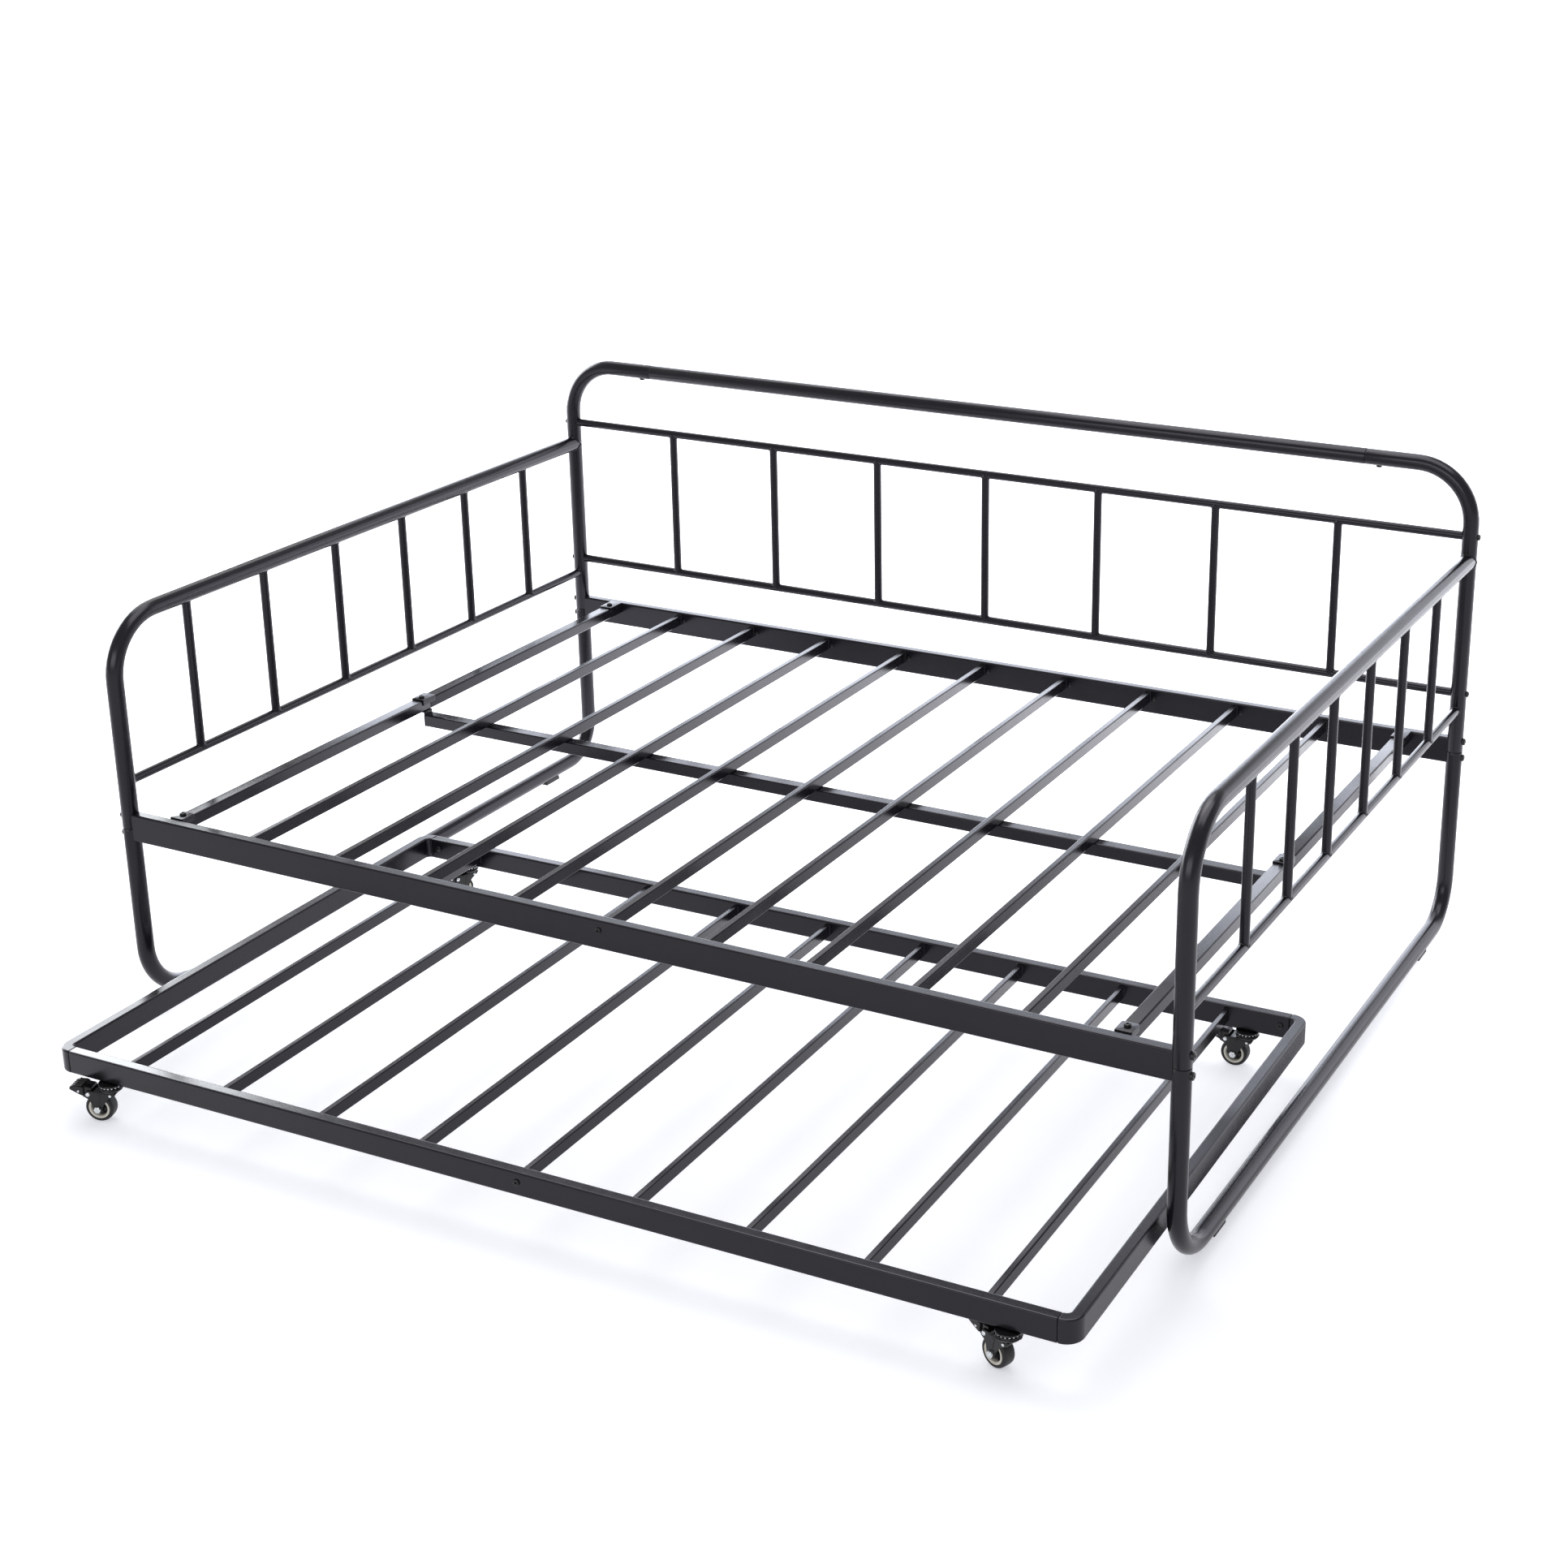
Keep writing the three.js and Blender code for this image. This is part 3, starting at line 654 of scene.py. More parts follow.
glide_black = coated(
    "glide_plastic",
    [
        (0.30, (0.0090, 0.0090, 0.0095)),
        (0.55, (0.0130, 0.0130, 0.0138)),
        (0.75, (0.0180, 0.0180, 0.0190)),
    ],
    (0.48, 0.62),
    1000.0,
    0.30,
)


# ---- Daybed: side panels, legs and back ----

POST_BOLT_ZS = (RAIL_TOP_Z - 7, RAIL_LOW_Z + 11)
TOP_BOLT_X = TOP_SEAM_X + 24
BUTTON_Z = SEAM_Z - 1
BUTTON_SINK = 1.2
GLIDE_TAPER = 2

# plate() draws in X and Z. With X and Y swapped, an outline in Y and Z can be drawn with it.
SWAP_X_AND_Y = Matrix(((0, 1, 0, 0), (1, 0, 0, 0), (0, 0, 1, 0), (0, 0, 0, 1)))


def spring_button(shape, x, y, z, facing):
    """The low round button of a spring catch, which stands out of a hole in the tube."""
    facing = Vector(facing).normalized()
    at = Vector((x, y, z)) + facing * (TUBE_R - BUTTON_SINK)
    lathe(shape, [(3.4, 0), (3.4, 0.9), (3.0, 1.5), (1.9, 2.1), (0, 2.3)], at, facing, sides=20)


def round_trim(host_radius):
    """A trim for a tube whose path ends on the axis of the round host tube that it meets."""
    return lambda a, _c: math.sqrt(max(host_radius**2 - a * a, 0)) - SINK


for label, side in SIDES:
    x = side * POST_X
    leg = Shape()
    leg_path = bend_path(
        [
            (x, FRONT_Y, SEAM_Z - SEAM_GAP / 2),
            (x, FRONT_Y, FLOOR_RAIL_Z),
            (x, BACK_Y, FLOOR_RAIL_Z),
            (x, BACK_Y, SEAM_Z - SEAM_GAP / 2),
        ],
        [BEND_R, BACK_LEG_BEND_R],
    )
    sweep(leg, leg_path, circle(TUBE_R, TUBE_SIDES), X_AXIS)
    for y in (FRONT_Y, BACK_Y):
        rod(leg, (x, y, SEAM_Z - SPIGOT_REACH), (x, y, SEAM_Z + SPIGOT_REACH), SPIGOT_R)
    leg.make(f"{label}_leg_tube", "daybed", powder_coat, "frame", [f"{label}_leg_frame"])

    panel = Shape()
    back_post = bend_path(
        [
            (x, BACK_Y, SEAM_Z + SEAM_GAP / 2),
            (x, BACK_Y, BACK_TOP_Z),
            (side * TOP_SEAM_X, BACK_Y, BACK_TOP_Z),
        ],
        BEND_R,
    )
    sweep(panel, back_post, circle(TUBE_R, TUBE_SIDES), Y_AXIS)
    arm = bend_path(
        [
            (x, FRONT_Y, SEAM_Z + SEAM_GAP / 2),
            (x, FRONT_Y, ARM_TOP_Z),
            (x, BACK_Y, ARM_TOP_Z),
        ],
        BEND_R,
    )
    sweep(panel, arm, circle(TUBE_R, TUBE_SIDES), X_AXIS, trims=(None, round_trim(TUBE_R)))
    saddle_weld(panel, (x, BACK_Y, ARM_TOP_Z), (0, -1, 0), TUBE_R, Z_AXIS, TUBE_R, 1.8)
    low_front, low_back = Vector((x, FRONT_Y, ARM_LOW_Z)), Vector((x, BACK_Y, ARM_LOW_Z))
    profile = circle(THIN_R, THIN_SIDES)
    sweep(
        panel,
        [low_front, low_back],
        profile,
        X_AXIS,
        trims=(round_trim(TUBE_R), round_trim(TUBE_R)),
    )
    saddle_weld(panel, low_front, (0, 1, 0), THIN_R, Z_AXIS, TUBE_R)
    saddle_weld(panel, low_back, (0, -1, 0), THIN_R, Z_AXIS, TUBE_R)
    first_y, pitch = SPINDLES[side]
    for i in range(ARM_SPINDLES):
        low = Vector((x, first_y + i * pitch, ARM_LOW_Z))
        high = Vector((x, first_y + i * pitch, ARM_TOP_Z))
        sweep(
            panel,
            [low, high],
            profile,
            X_AXIS,
            trims=(round_trim(THIN_R), round_trim(TUBE_R)),
        )
        saddle_weld(panel, low, Z_AXIS, THIN_R, Y_AXIS, THIN_R, 1.2)
        saddle_weld(panel, high, -Z_AXIS, THIN_R, Y_AXIS, TUBE_R, 1.2)
    panel.make(f"{label}_panel", "daybed", powder_coat, "frame", [f"{label}_arm_panel"])

    buttons = Shape()
    spring_button(buttons, x, FRONT_Y, BUTTON_Z, (-side * 0.35, -0.93, 0))
    spring_button(buttons, x, BACK_Y, BUTTON_Z, (0, -1, 0))
    buttons.make(f"{label}_spring_buttons", "daybed", gloss_black, "frame")

    bolts = Shape()
    bolt_x = x + side * (TUBE_R - SINK)
    for z in POST_BOLT_ZS:
        button_bolt(bolts, (bolt_x, FRONT_Y, z), (side, 0, 0), POST_BOLT)
        button_bolt(bolts, (bolt_x, BACK_Y, z), (side, 0, 0), POST_BOLT)
    for z in (LADDER_TOP_Z, LADDER_LOW_Z):
        button_bolt(bolts, (bolt_x, BACK_Y, z), (side, 0, 0), LADDER_BOLT)
    top_bolt_at = (side * TOP_BOLT_X, BACK_Y, BACK_TOP_Z - TUBE_R + SINK)
    button_bolt(bolts, top_bolt_at, -Z_AXIS, TOP_BOLT)
    bolts.make(f"{label}_post_bolts", "daybed", bolt_black, "frame")

    for end in ("front", "back"):
        glide = f"{label}_{end}_glide"
        low, high = box_mm(glide)
        y0, y1 = low.y, high.y
        top_y0, top_y1 = y0 + GLIDE_TAPER, y1 - GLIDE_TAPER
        outline = round_outline([(y0, 0), (y1, 0), (top_y1, high.z), (top_y0, high.z)], 2)
        foot = Shape(SWAP_X_AND_Y)
        plate(foot, outline, low.x, high.x, 0.7)
        foot.make(f"{label}_{end}_foot", "daybed", glide_black, "glide", [glide])

top_rail = Shape()
seam = TOP_SEAM_X - SEAM_GAP
sweep(
    top_rail,
    [(-seam, BACK_Y, BACK_TOP_Z), (seam, BACK_Y, BACK_TOP_Z)],
    circle(TUBE_R, TUBE_SIDES),
    Y_AXIS,
)
spigot_x = seam + SPIGOT_REACH
rod(top_rail, (-spigot_x, BACK_Y, BACK_TOP_Z), (spigot_x, BACK_Y, BACK_TOP_Z), SPIGOT_R)
top_rail.make("back_top_tube", "daybed", powder_coat, "frame", ["back_top_rail"])

ladder = Shape()
for z in (LADDER_TOP_Z, LADDER_LOW_Z):
    left, right = Vector((-POST_X, BACK_Y, z)), Vector((POST_X, BACK_Y, z))
    sweep(
        ladder,
        [left, right],
        circle(THIN_R, THIN_SIDES),
        Y_AXIS,
        trims=(round_trim(TUBE_R), round_trim(TUBE_R)),
    )
for i in range(LADDER_SPINDLES):
    x = (i - (LADDER_SPINDLES - 1) / 2) * LADDER_PITCH
    low, high = Vector((x, BACK_Y, LADDER_LOW_Z)), Vector((x, BACK_Y, LADDER_TOP_Z))
    sweep(
        ladder,
        [low, high],
        circle(THIN_R, THIN_SIDES),
        Y_AXIS,
        trims=(round_trim(THIN_R), round_trim(THIN_R)),
    )
    saddle_weld(ladder, low, Z_AXIS, THIN_R, X_AXIS, THIN_R, 1.2)
    saddle_weld(ladder, high, -Z_AXIS, THIN_R, X_AXIS, THIN_R, 1.2)
ladder.make("back_ladder_tubes", "daybed", powder_coat, "frame", ["back_ladder"])


# ---- Daybed: rails, slats and centre beam ----

RAIL_PROFILE = rounded_rect(RAIL_TOP_Z - RAIL_LOW_Z, RAIL_DEPTH, RAIL_EDGE)
COPE_GAP = 0.1
SLAT_EDGE = 2.2
FLAT_SUPPORT = 0.4
RIVET_OFFSET = 13.5
rail_middle_z = (RAIL_TOP_Z + RAIL_LOW_Z) / 2


def post_cope(_a, c):
    """A trim that copes a rail's end round a post, a hair clear of it."""
    return math.sqrt(max(TUBE_R**2 - c * c, 0)) + COPE_GAP


for name, y in (("front_rail", FRONT_Y), ("back_rail", BACK_Y)):
    rail = Shape()
    sweep(
        rail,
        [(-POST_X, y, rail_middle_z), (POST_X, y, rail_middle_z)],
        RAIL_PROFILE,
        Z_AXIS,
        trims=(post_cope, post_cope),
    )
    inward = 1 if y == FRONT_Y else -1
    face_y = y + inward * RAIL_DEPTH / 2
    for i in range(SLATS):
        low, high = box_mm(f"slat_{i + 1}")
        centre = (low + high) / 2
        flat_weld(
            rail,
            (centre.x, face_y, centre.z),
            X_AXIS,
            Z_AXIS,
            high.x - low.x,
            high.z - low.z,
            (0, inward, 0),
        )
    rail.make(f"{name}_tube", "daybed", powder_coat, "frame", [name])

middle_bolt = Shape()
middle_bolt_at = (-2, FRONT_Y - RAIL_DEPTH / 2 + SINK, rail_middle_z + 7.5)
button_bolt(middle_bolt, middle_bolt_at, -Y_AXIS, MIDDLE_BOLT)
middle_bolt.make("front_rail_bolt", "daybed", bolt_black, "frame")

slat_rivets = Shape()
for i in range(SLATS):
    low, high = box_mm(f"slat_{i + 1}")
    centre = (low + high) / 2
    slat = Shape()
    profile = rounded_rect(high.x - low.x, high.z - low.z, SLAT_EDGE, support=FLAT_SUPPORT)
    sweep(
        slat,
        [(centre.x, low.y, centre.z), (centre.x, high.y, centre.z)],
        profile,
        X_AXIS,
        ease=(0.3, 0.3),
    )
    slat.make(f"slat_tube_{i + 1}", "daybed", powder_coat, "frame", [f"slat_{i + 1}"])
    for y, normal in ((back_rail_high.y - RAIL_DEPTH, -1), (rail_low.y + RAIL_DEPTH, 1)):
        at = (centre.x + RIVET_OFFSET, y, centre.z - 1)
        button_bolt(slat_rivets, at, (0, normal, 0), RIVET)
slat_rivets.make("slat_rivets", "daybed", bolt_black, "frame")

beam_low, beam_high = box_mm("centre_beam")
beam = Shape()
beam_centre = (beam_low + beam_high) / 2
sweep(
    beam,
    [(beam_low.x, beam_centre.y, beam_centre.z), (beam_high.x, beam_centre.y, beam_centre.z)],
    rounded_rect(beam_high.y - beam_low.y, beam_high.z - beam_low.z, 2.4, support=FLAT_SUPPORT),
    Y_AXIS,
)
beam.make("centre_beam_tube", "daybed", powder_coat, "frame", ["centre_beam"])

SPLICE_Y = FRONT_Y + 704.7
SPLICE_GAP = 0.4
SPLICE_PLUG_R = 9
SPLICE_PLUG_REACH = 6
TAB_THICKNESS = 2.2
HANGER_HALF = 1.2


def strap(shape, x, half, y0, y1, z_low, z_top, z_lip_low, z_lip_top):
    """A strap folded over a side rail: a flat top, with a lip down each side."""
    slab(shape, x - half - 1.6, x + half + 1.6, y0, y1, z_low, z_top, 2.5)
    for edge in (-1, 1):
        lip = x + edge * (half + 0.9)
        slab(shape, lip - 0.8, lip + 0.8, y0, y1, z_lip_low, z_lip_top, 0.6)


for label, side in SIDES:
    front_node, back_node = f"{label}_side_rail_front", f"{label}_side_rail_back"
    front_low, front_high = box_mm(front_node)
    back_high = box_mm(back_node)[1]
    x = (front_low.x + front_high.x) / 2
    top = front_high.z - TAB_THICKNESS
    height = top - front_low.z
    half = SIDE_RAIL_WIDTH / 2
    profile = rounded_rect(SIDE_RAIL_WIDTH, height, 2.6, support=FLAT_SUPPORT)
    z = top - height / 2

    front = Shape()
    run = [(x, front_low.y, z), (x, SPLICE_Y - SPLICE_GAP, z)]
    sweep(front, run, profile, X_AXIS, ease=(0.3, 0.8))
    rod(
        front,
        (x, SPLICE_Y - SPLICE_PLUG_REACH, z),
        (x, SPLICE_Y + SPLICE_PLUG_REACH, z),
        SPLICE_PLUG_R,
    )
    y0, y1 = front_low.y, front_low.y + 30
    strap(front, x, half, y0, y1, top - 0.1, top + 2.1, top - 9, top + 1.6)
    front.make(f"{front_node}_tube", "daybed", powder_coat, "frame", [front_node])

    back = Shape()
    run = [(x, SPLICE_Y + SPLICE_GAP, z), (x, back_high.y, z)]
    sweep(back, run, profile, X_AXIS, ease=(0.8, 0.3))
    y0, y1 = SPLICE_Y - 24, SPLICE_Y + 14
    strap(back, x, half, y0, y1, top, top + 2.3, top - 9, top + 1.8)
    y0, y1 = back_high.y - 44, back_high.y
    strap(back, x, half, y0, y1, top - 0.1, top + 2.1, top - 9, top + 1.6)
    back.make(f"{back_node}_tube", "daybed", powder_coat, "frame", [back_node])

    bolts = Shape()
    for y in (front_low.y + 17, SPLICE_Y - 12, back_high.y - 28):
        button_bolt(bolts, (x, y, top + 1.9), Z_AXIS, SIDE_RAIL_BOLT)
    bolts.make(f"{label}_side_rail_bolts", "daybed", bolt_black, "frame")

    low, high = box_mm(f"{label}_beam_hanger")
    hanger = Shape()
    y0, y1 = low.y, high.y
    drop_x = side * (beam_high.x + 1.6)
    x0, x1 = min(x, drop_x) - HANGER_HALF, max(x, drop_x) + HANGER_HALF
    slab(hanger, x0, x1, y0, y1, high.z - 2, high.z, 2.0)
    x0, x1 = drop_x - HANGER_HALF, drop_x + HANGER_HALF
    slab(hanger, x0, x1, y0, y1, low.z, high.z - 0.5, 0.6)
    hanger.make(f"{label}_beam_bracket", "daybed", powder_coat, "frame", [f"{label}_beam_hanger"])


# ---- Trundle: drawn square about its own middle, then turned and set where the frame has it ----

TRUNDLE_TURN = math.radians(0.77)
T_HALF_X = 911.5
T_HALF_Y = 502.5
T_DEPTH = 20
end_low, end_high = box_mm("trundle_left_end")
T_LOW, T_TOP = end_low.z, end_high.z
T_SEAM_X = T_HALF_X - 30
T_CORNER_R = 18
T_SLAT_PITCH = 192.5
T_SLAT_WIDTH = 10
T_EASE = (1.0, 1.0)
T_BOLT_INSET = 46
PLUG_INSET = 2
slat_low, slat_high = box_mm("trundle_slat_5")
T_SLAT_LOW, T_SLAT_TOP = slat_low.z, slat_high.z
T_SLAT_XS = [(i - (SLATS - 1) / 2) * T_SLAT_PITCH for i in range(SLATS)]
t_slat_middle_z = (T_SLAT_TOP + T_SLAT_LOW) / 2
t_middle_z = (T_TOP + T_LOW) / 2
t_rail_y = T_HALF_Y - T_DEPTH / 2
trundle_place = stood_at(middle_mm("trundle_slat_5"), TRUNDLE_TURN)
T_PROFILE = rounded_rect(T_TOP - T_LOW, T_DEPTH, 3.0)

for label, side in SIDES:
    end = Shape(trundle_place)
    seam_x = side * (T_SEAM_X + SEAM_GAP / 2)
    end_x = side * (T_HALF_X - T_DEPTH / 2)
    path = bend_path(
        [
            (seam_x, -t_rail_y, t_middle_z),
            (end_x, -t_rail_y, t_middle_z),
            (end_x, t_rail_y, t_middle_z),
            (seam_x, t_rail_y, t_middle_z),
        ],
        T_CORNER_R,
        steps=10,
    )
    sweep(end, path, T_PROFILE, Z_AXIS, ease=T_EASE)
    for y in (-t_rail_y, t_rail_y):
        plug = rounded_rect(T_TOP - T_LOW - 2 * PLUG_INSET, T_DEPTH - 2 * PLUG_INSET, 2.0)
        a, b = sorted((seam_x - side * 6, seam_x + side * 4))
        sweep(end, [(a, y, t_middle_z), (b, y, t_middle_z)], plug, Z_AXIS)
    node = f"trundle_{label}_end"
    end.make(f"{node}_tube", "trundle", powder_coat, "frame", [node])

for label, way in (("front", -1), ("back", 1)):
    y = way * t_rail_y
    rail = Shape(trundle_place)
    reach = T_SEAM_X - SEAM_GAP / 2
    sweep(
        rail,
        [(-reach, y, t_middle_z), (reach, y, t_middle_z)],
        T_PROFILE,
        Z_AXIS,
        ease=T_EASE,
    )
    face_y = y - way * T_DEPTH / 2
    for slat_x in T_SLAT_XS:
        flat_weld(
            rail,
            (slat_x, face_y, t_slat_middle_z),
            X_AXIS,
            Z_AXIS,
            T_SLAT_WIDTH,
            T_SLAT_TOP - T_SLAT_LOW,
            (0, -way, 0),
        )
    node = f"trundle_{label}_rail"
    rail.make(f"{node}_tube", "trundle", powder_coat, "frame", [node])

    bolts = Shape(trundle_place)
    for side in (-1, 1):
        at = (side * (T_HALF_X - T_BOLT_INSET), face_y + way * SINK, t_middle_z + 2.5)
        button_bolt(bolts, at, (0, -way, 0), TRUNDLE_BOLT)
    if label == "front":
        at = (0, y + way * (T_DEPTH / 2 - SINK), t_middle_z + 3)
        button_bolt(bolts, at, (0, way, 0), MIDDLE_BOLT)
    bolts.make(f"trundle_{label}_bolts", "trundle", bolt_black, "frame")

T_SLAT_SIZE = (T_SLAT_WIDTH, T_SLAT_TOP - T_SLAT_LOW)
slat_profile = rounded_rect(*T_SLAT_SIZE, 2.0, support=FLAT_SUPPORT)
slat_end = T_HALF_Y - T_DEPTH - 0.3
for number, x in enumerate(T_SLAT_XS, 1):
    slat = Shape(trundle_place)
    run = [(x, -slat_end, t_slat_middle_z), (x, slat_end, t_slat_middle_z)]
    sweep(slat, run, slat_profile, X_AXIS, ease=(0.3, 0.3))
    node = f"trundle_slat_{number}"
    slat.make(f"trundle_slat_tube_{number}", "trundle", powder_coat, "frame", [node])


# ---- Casters: drawn about the swivel axis, with the wheel trailing toward -X ----

WHEEL_R = 24
WHEEL_HALF = 11
TRAIL = 20
CHEEK_IN = 12.2
CHEEK_OUT = 14.2
AXLE = (-TRAIL, 0, WHEEL_R)
BALLS = 18
BALL_R = 1.9
BALL_RACE_R = 16.4
BALL_Z = 64.3
HUB_SPOKES = 6
PEDAL_RIBS = 5
PEDAL_RIB_PITCH = 5.75

# Rivets through the cheeks, as (x, z) and radius: the pedal's pivot, and one under the swivel.
CHEEK_RIVETS = (((-35, 50), 3.7), ((3.5, 50.2), 2.6))

roll_axes = {
    joint["name"]: joint["axis"] for joint in frame["joints"] if joint["name"].endswith("_roll")
}


def bearing_ball(shape, centre):
    turns = [(math.sin(a), -math.cos(a)) for a in (math.pi * k / 8 for k in range(9))]
    lathe(shape, [(BALL_R * s, BALL_R * c) for s, c in turns], centre, Z_AXIS, sides=12)


def caster_mount(name, place):
    mount = Shape(place)
    cap = [
        (0, 64.5), (11.0, 64.5), (12.2, 65.2), (18.4, 65.4), (19.7, 66.0), (20.0, 66.8),
        (20.0, 67.9), (19.5, 68.6), (12, 68.65), (0, 68.65),
    ]
    lathe(mount, cap, sides=48)
    stem = [(4.0, 68), (4.0, 72), (0, 72)]
    lathe(mount, stem, sides=20)
    node = f"{name}_caster_mount"
    mount.make(f"{name}_bearing_cap", "trundle", gloss_black, "caster_metal", [node])

    balls = Shape(place)
    for i in range(BALLS):
        turn = i * 2 * math.pi / BALLS
        bearing_ball(balls, (BALL_RACE_R * math.cos(turn), BALL_RACE_R * math.sin(turn), BALL_Z))
    balls.make(f"{name}_bearing_balls", "trundle", zinc, "caster_metal")


def caster_fork(name, place, body):
    plates = Shape(place)
    race = [
        (0, 54.8), (14.6, 54.8), (16.2, 55.2), (18.5, 57.0), (19.0, 58.2), (19.0, 60.6),
        (18.8, 62.0), (18.3, 62.7), (17.8, 62.6), (14.4, 62.2), (13.2, 63.3), (11.0, 63.9),
        (0, 63.9),
    ]
    lathe(plates, race, sides=48)
    race_lip = [(18.9, 58.9), (19.9, 59.2), (20.3, 59.9), (19.9, 60.5), (18.9, 60.8)]
    lathe(plates, race_lip, sides=48, closed=True)
    bridge = round_outline([(-27, 52.2), (13, 52.2), (14, 55.6), (-27, 55.8)], 1.4)
    plate(plates, bridge, -CHEEK_OUT, CHEEK_OUT, 0.8)
    cheek = round_outline(
        [
            (13.0, 56.0), (12.4, 50.5), (-3.0, 42.0), (-12.0, 28.0), (-13.6, 18.0), (-20.0, 15.4),
            (-26.4, 18.0), (-30.5, 30.0), (-32.0, 40.0), (-40.5, 44.0), (-41.5, 50.0),
            (-38.0, 56.0),
        ],
        [1.5, 3, 5, 6, 4, 5, 4, 6, 5, 3.5, 3, 3],
    )
    rib = round_outline([(-19.6, 30), (-17.0, 51), (-13.0, 51), (-17.6, 30)], 0.7)
    boss = [(6.6, 0), (6.6, 0.5), (6.1, 0.9), (0, 0.9)]
    for hand in (-1, 1):
        a, b = sorted((hand * CHEEK_IN, hand * CHEEK_OUT))
        plate(plates, cheek, a, b, 0.5)
        a, b = sorted((hand * (CHEEK_OUT - 0.4), hand * (CHEEK_OUT + 0.7)))
        plate(plates, rib, a, b, 0.4)
        at = (-TRAIL, hand * (CHEEK_OUT - 0.1), WHEEL_R)
        lathe(plates, boss, at, (0, hand, 0), sides=28)
    plates.make(f"{name}_fork_plates", body, gloss_black, "caster_metal", [f"{name}_caster_fork"])

    metal = Shape(place)
    rod(metal, (-TRAIL, -CHEEK_OUT, WHEEL_R), (-TRAIL, CHEEK_OUT, WHEEL_R), 3.3, 24)
    thread = [(2.1, 0), (2.1, 1.7), (1.5, 2.3), (0, 2.4)]
    for hand in (-1, 1):
        hex_nut(metal, (-TRAIL, hand * (CHEEK_OUT + 0.6), WHEEL_R), (0, hand, 0), 10.4, 3.6)
        at = (-TRAIL, hand * (CHEEK_OUT + 2.8), WHEEL_R)
        lathe(metal, thread, at, (0, hand, 0), sides=20)
        for (x, z), r in CHEEK_RIVETS:
            rivet = [(r, 0), (r, 0.5), (r * 0.86, 1.2), (r * 0.45, 1.7), (0, 1.8)]
            lathe(metal, rivet, (x, hand * (CHEEK_OUT - 0.1), z), (0, hand, 0), sides=24)
    metal.make(f"{name}_axle_and_rivets", body, zinc, "caster_metal")


def caster_wheel(name, place, body):
    half = WHEEL_HALF
    tyre = Shape(place)
    tread = [
        (18.2, -half + 1.2), (18.8, -half + 0.2), (20.2, -half), (21.7, -half + 0.4),
        (22.9, -half + 1.4), (23.6, -half + 3.0), (24.0, -half + 6.0), (24.0, half - 6.0),
        (23.6, half - 3.0), (22.9, half - 1.4), (21.7, half - 0.4), (20.2, half),
        (18.8, half - 0.2), (18.2, half - 1.2),
    ]
    lathe(tyre, tread, AXLE, Y_AXIS, sides=56, closed=True)
    tyre.make(f"{name}_tyre", body, tyre_black_and_hub_shade, "wheel", [f"{name}_caster_wheel"])

    hub = Shape(place)
    rim = [
        (13.4, -half + 5.6), (13.8, -half + 2.2), (14.6, -half + 0.7), (15.8, -half),
        (17.2, -half), (18.1, -half + 0.8), (18.3, -half + 1.8), (18.3, half - 1.8),
        (18.1, half - 0.8), (17.2, half), (15.8, half), (14.6, half - 0.7),
        (13.8, half - 2.2), (13.4, half - 5.6),
    ]
    lathe(hub, rim, AXLE, Y_AXIS, sides=48, closed=True)
    hub.make(f"{name}_hub_rim", body, hub_cream, "wheel")

    # Painted shade: the web and spokes take the tyre's black to stand for the shade in the hub's
    # recessed inside, so only the rim shows cream.
    core = Shape(place)
    web = [
        (4.0, -4.2), (4.6, -half + 1.0), (6.8, -half + 1.0), (7.4, -4.4), (13.6, -4.0),
        (13.6, 4.0), (7.4, 4.4), (6.8, half - 1.0), (4.6, half - 1.0), (4.0, 4.2),
    ]
    lathe(core, web, AXLE, Y_AXIS, sides=40, closed=True)
    spoke = rounded_rect(2 * half - 9, 1.8, 0.5, 2, 0.1)
    for i in range(HUB_SPOKES):
        turn = i * 2 * math.pi / HUB_SPOKES
        direction = Vector((math.cos(turn), 0, math.sin(turn)))
        start = Vector(AXLE) + direction * 6.6
        finish = Vector(AXLE) + direction * 13.9
        sweep(core, [start, finish], spoke, Y_AXIS)
    core.make(f"{name}_hub_core_painted_shade", body, tyre_black_and_hub_shade, "wheel")


def caster_pedal(name, place, body):
    pedal = Shape(place)
    neck = round_outline(
        [(-29.5, 61.0), (-46.0, 63.3), (-47.0, 45.5), (-42.0, 41.8), (-34.5, 46.2), (-29.0, 52.0)],
        [3, 3, 3, 3, 3, 4],
    )
    plate(pedal, neck, -11.5, 11.5, 0.7)
    tread = round_outline(
        [(-42.0, 63.0), (-57.0, 65.0), (-65.8, 61.2), (-66.0, 57.6), (-53.0, 51.0), (-43.0, 46.5)],
        [3, 5, 2, 2, 6, 4],
    )
    plate(pedal, tread, -15, 15, 0.9)
    for i in range(PEDAL_RIBS):
        y = (i - (PEDAL_RIBS - 1) / 2) * PEDAL_RIB_PITCH
        start, finish = Vector((-45.5, y + 1.8, 63.5)), Vector((-57.0, y - 1.4, 64.9))
        rod(pedal, start, finish, 1.3, 12)
        rod(pedal, finish, Vector((-64.8, y - 2.0, 61.6)), 1.3, 12)
    rod(pedal, (-57.0, -13.6, 64.7), (-57.0, 13.6, 64.7), 1.2, 12)
    node = f"{name}_caster_pedal"
    pedal.make(f"{name}_brake_pedal", body, gloss_black, "caster_metal", [node])

    pins = Shape(place)
    pin = [(2.2, 0), (2.2, 0.5), (1.7, 1.2), (0, 1.5)]
    for hand in (-1, 1):
        lathe(pins, pin, (-50.5, hand * 14.8, 55.2), (0, hand, 0), sides=20)
    pins.make(f"{name}_pedal_pins", body, zinc, "caster_metal")


for name in ("front_left", "front_right", "back_left", "back_right"):
    axis = roll_axes[f"{name}_roll"]
    place = stood_at(middle_mm(f"{name}_caster_mount"), math.atan2(-axis[0], axis[1]))
    caster_mount(name, place)
    caster_fork(name, place, f"{name}_fork")
    caster_wheel(name, place, f"{name}_wheel")
    caster_pedal(name, place, f"{name}_pedal")


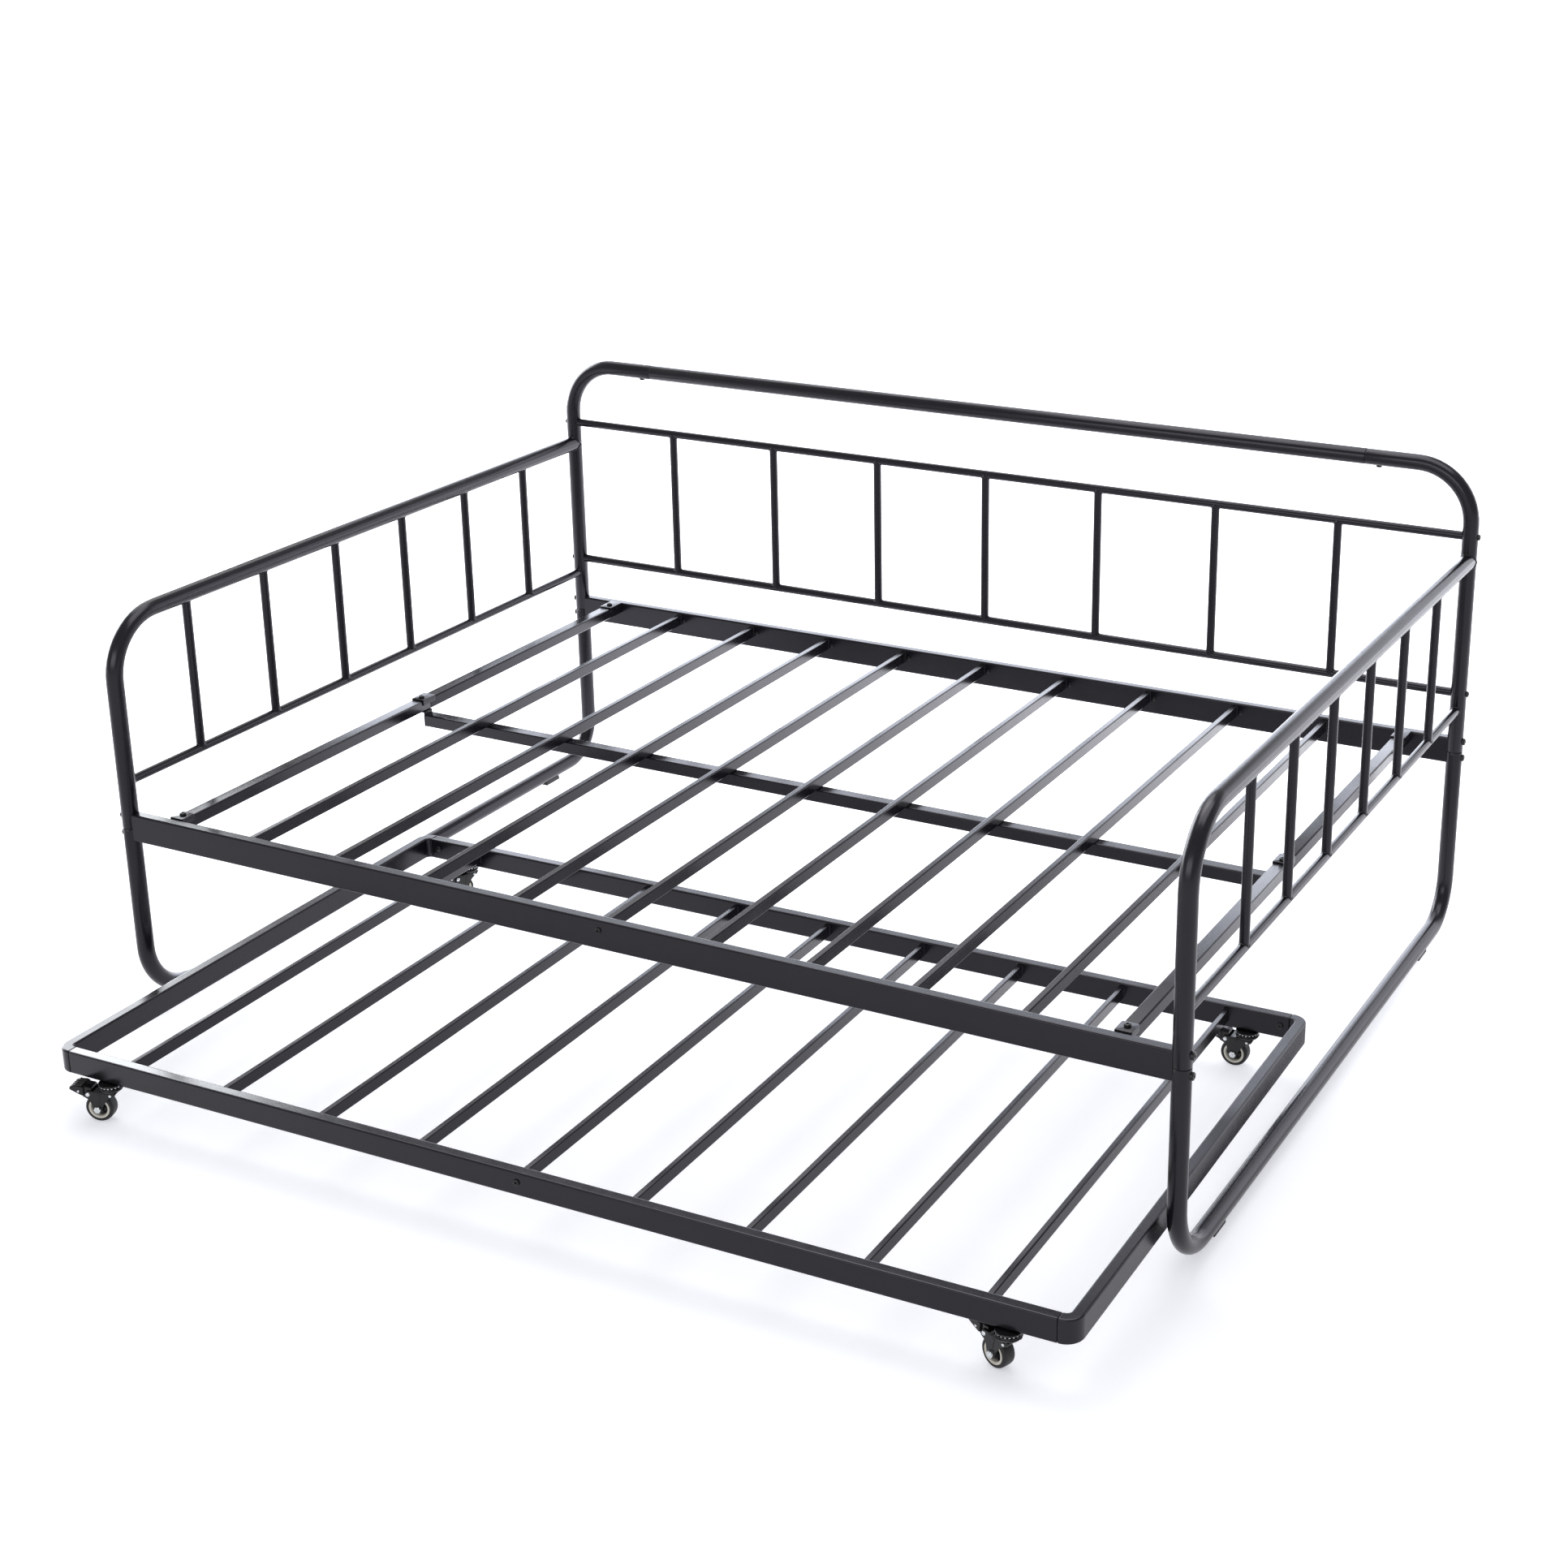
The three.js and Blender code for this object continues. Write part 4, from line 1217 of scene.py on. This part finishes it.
# ---- Stage: floor, lights and camera ----

FLOOR_HALF = 30
FLOOR_STOPS = [(0.2, (0.76, 0.76, 0.765)), (0.8, (0.79, 0.79, 0.795))]

# The ground glows a little, and more so to the back left, as a lit studio sweep does.
GLOW_COLOUR = (0.93, 0.94, 1.0, 1)
GLOW_WAY = (-0.45, 1.0, 0.0)
GLOW_FROM = (-0.6, 1.9)
GLOW_STRENGTH = (0.47, 1.70)

floor_mesh = bpy.data.meshes.new("floor")
work = bmesh.new()
bmesh.ops.create_grid(work, x_segments=8, y_segments=8, size=FLOOR_HALF)
work.to_mesh(floor_mesh)
work.free()
floor = bpy.data.objects.new("floor", floor_mesh)
bpy.context.scene.collection.objects.link(floor)
floor_material, nodes, links, shader = new_material("floor_white")
floor_place = nodes.new("ShaderNodeTexCoord").outputs["Object"]
floor_noise = noise(nodes, links, floor_place, 3.0)
floor_colour = ramp(nodes, links, floor_noise.outputs["Fac"], FLOOR_STOPS)
links.new(floor_colour.outputs["Color"], shader.inputs["Base Color"])
shader.inputs["Emission Color"].default_value = GLOW_COLOUR
depth = nodes.new("ShaderNodeVectorMath")
depth.operation = "DOT_PRODUCT"
depth.inputs[1].default_value = GLOW_WAY
links.new(floor_place, depth.inputs[0])
glow = map_range(nodes, links, depth.outputs["Value"], *GLOW_STRENGTH)
glow.interpolation_type = "SMOOTHSTEP"
glow.inputs["From Min"].default_value = GLOW_FROM[0]
glow.inputs["From Max"].default_value = GLOW_FROM[1]
links.new(glow.outputs["Result"], shader.inputs["Emission Strength"])
shader.inputs["Roughness"].default_value = 0.9
shader.inputs["Specular IOR Level"].default_value = 0.0
floor_mesh.materials.append(floor_material)

world = bpy.data.worlds.new("studio")
bpy.context.scene.world = world
world.use_nodes = True
background = world.node_tree.nodes["Background"]
background.inputs["Color"].default_value = (0.97, 0.98, 1.0, 1)
background.inputs["Strength"].default_value = 0.60

SUN_WAY = Vector((0.36, -0.44, -0.82))

sun_data = bpy.data.lights.new("soft_sun", "SUN")
sun_data.energy = 1.0
sun_data.angle = math.radians(42)
sun = bpy.data.objects.new("soft_sun", sun_data)
sun.rotation_euler = SUN_WAY.to_track_quat("-Z", "Y").to_euler()
bpy.context.scene.collection.objects.link(sun)


def card(name, place, target, width, height, radiance, colour=(1, 1, 1), lights=True):
    """A bright card that the camera does not see. If it is not to light, only gloss shows it."""
    light = bpy.data.lights.new(name, "AREA")
    light.shape = "RECTANGLE"
    light.size = width
    light.size_y = height
    light.energy = radiance * math.pi * width * height
    light.color = colour
    lamp = bpy.data.objects.new(name, light)
    lamp.location = place
    lamp.rotation_euler = (Vector(target) - Vector(place)).to_track_quat("-Z", "Y").to_euler()
    bpy.context.scene.collection.objects.link(lamp)
    lamp.visible_camera = False
    lamp.visible_diffuse = lights


COOL_WHITE = (0.94, 0.98, 1.0)
card("left_card", (-6.3, 1.7, 2.2), (-0.5, -0.5, 2.2), 5.2, 4.4, 8.0, COOL_WHITE, lights=False)
card("back_card", (-2.8, 5.5, 1.85), (-2.8, 0.0, 1.85), 5.6, 3.7, 3.4, (0.83, 0.88, 1.0))
card("back_right_card", (3.1, 5.5, 1.85), (3.1, 0.0, 1.85), 6.2, 3.7, 1.9, (0.90, 0.92, 1.0))
card("front_card", (0.5, -5.2, 2.3), (0.5, 0.0, 2.3), 5.2, 1.8, 3.0, lights=False)
card("overhead_card", (0.9, 0.4, 4.6), (0.9, 0.4, 0.0), 4.4, 3.0, 3.4, lights=False)

CAMERA_PLACE = (2.10926, -3.54635, 2.07492)
CAMERA_AZIMUTH = 26.6125
CAMERA_ELEVATION = 19.8557
CAMERA_LENS = 58.496
CAMERA_SHIFT = (-0.09870, -0.05653)
camera_data = bpy.data.cameras.new("camera")
camera_data.sensor_width = 36
camera_data.lens = CAMERA_LENS
camera_data.shift_x, camera_data.shift_y = CAMERA_SHIFT
camera_data.clip_start = 0.05
camera_data.clip_end = 200
camera = bpy.data.objects.new("camera", camera_data)
camera.location = CAMERA_PLACE
camera.rotation_euler = (math.radians(90 - CAMERA_ELEVATION), 0, math.radians(CAMERA_AZIMUTH))
bpy.context.scene.collection.objects.link(camera)
bpy.context.scene.camera = camera
bpy.context.scene.view_settings.view_transform = "Standard"
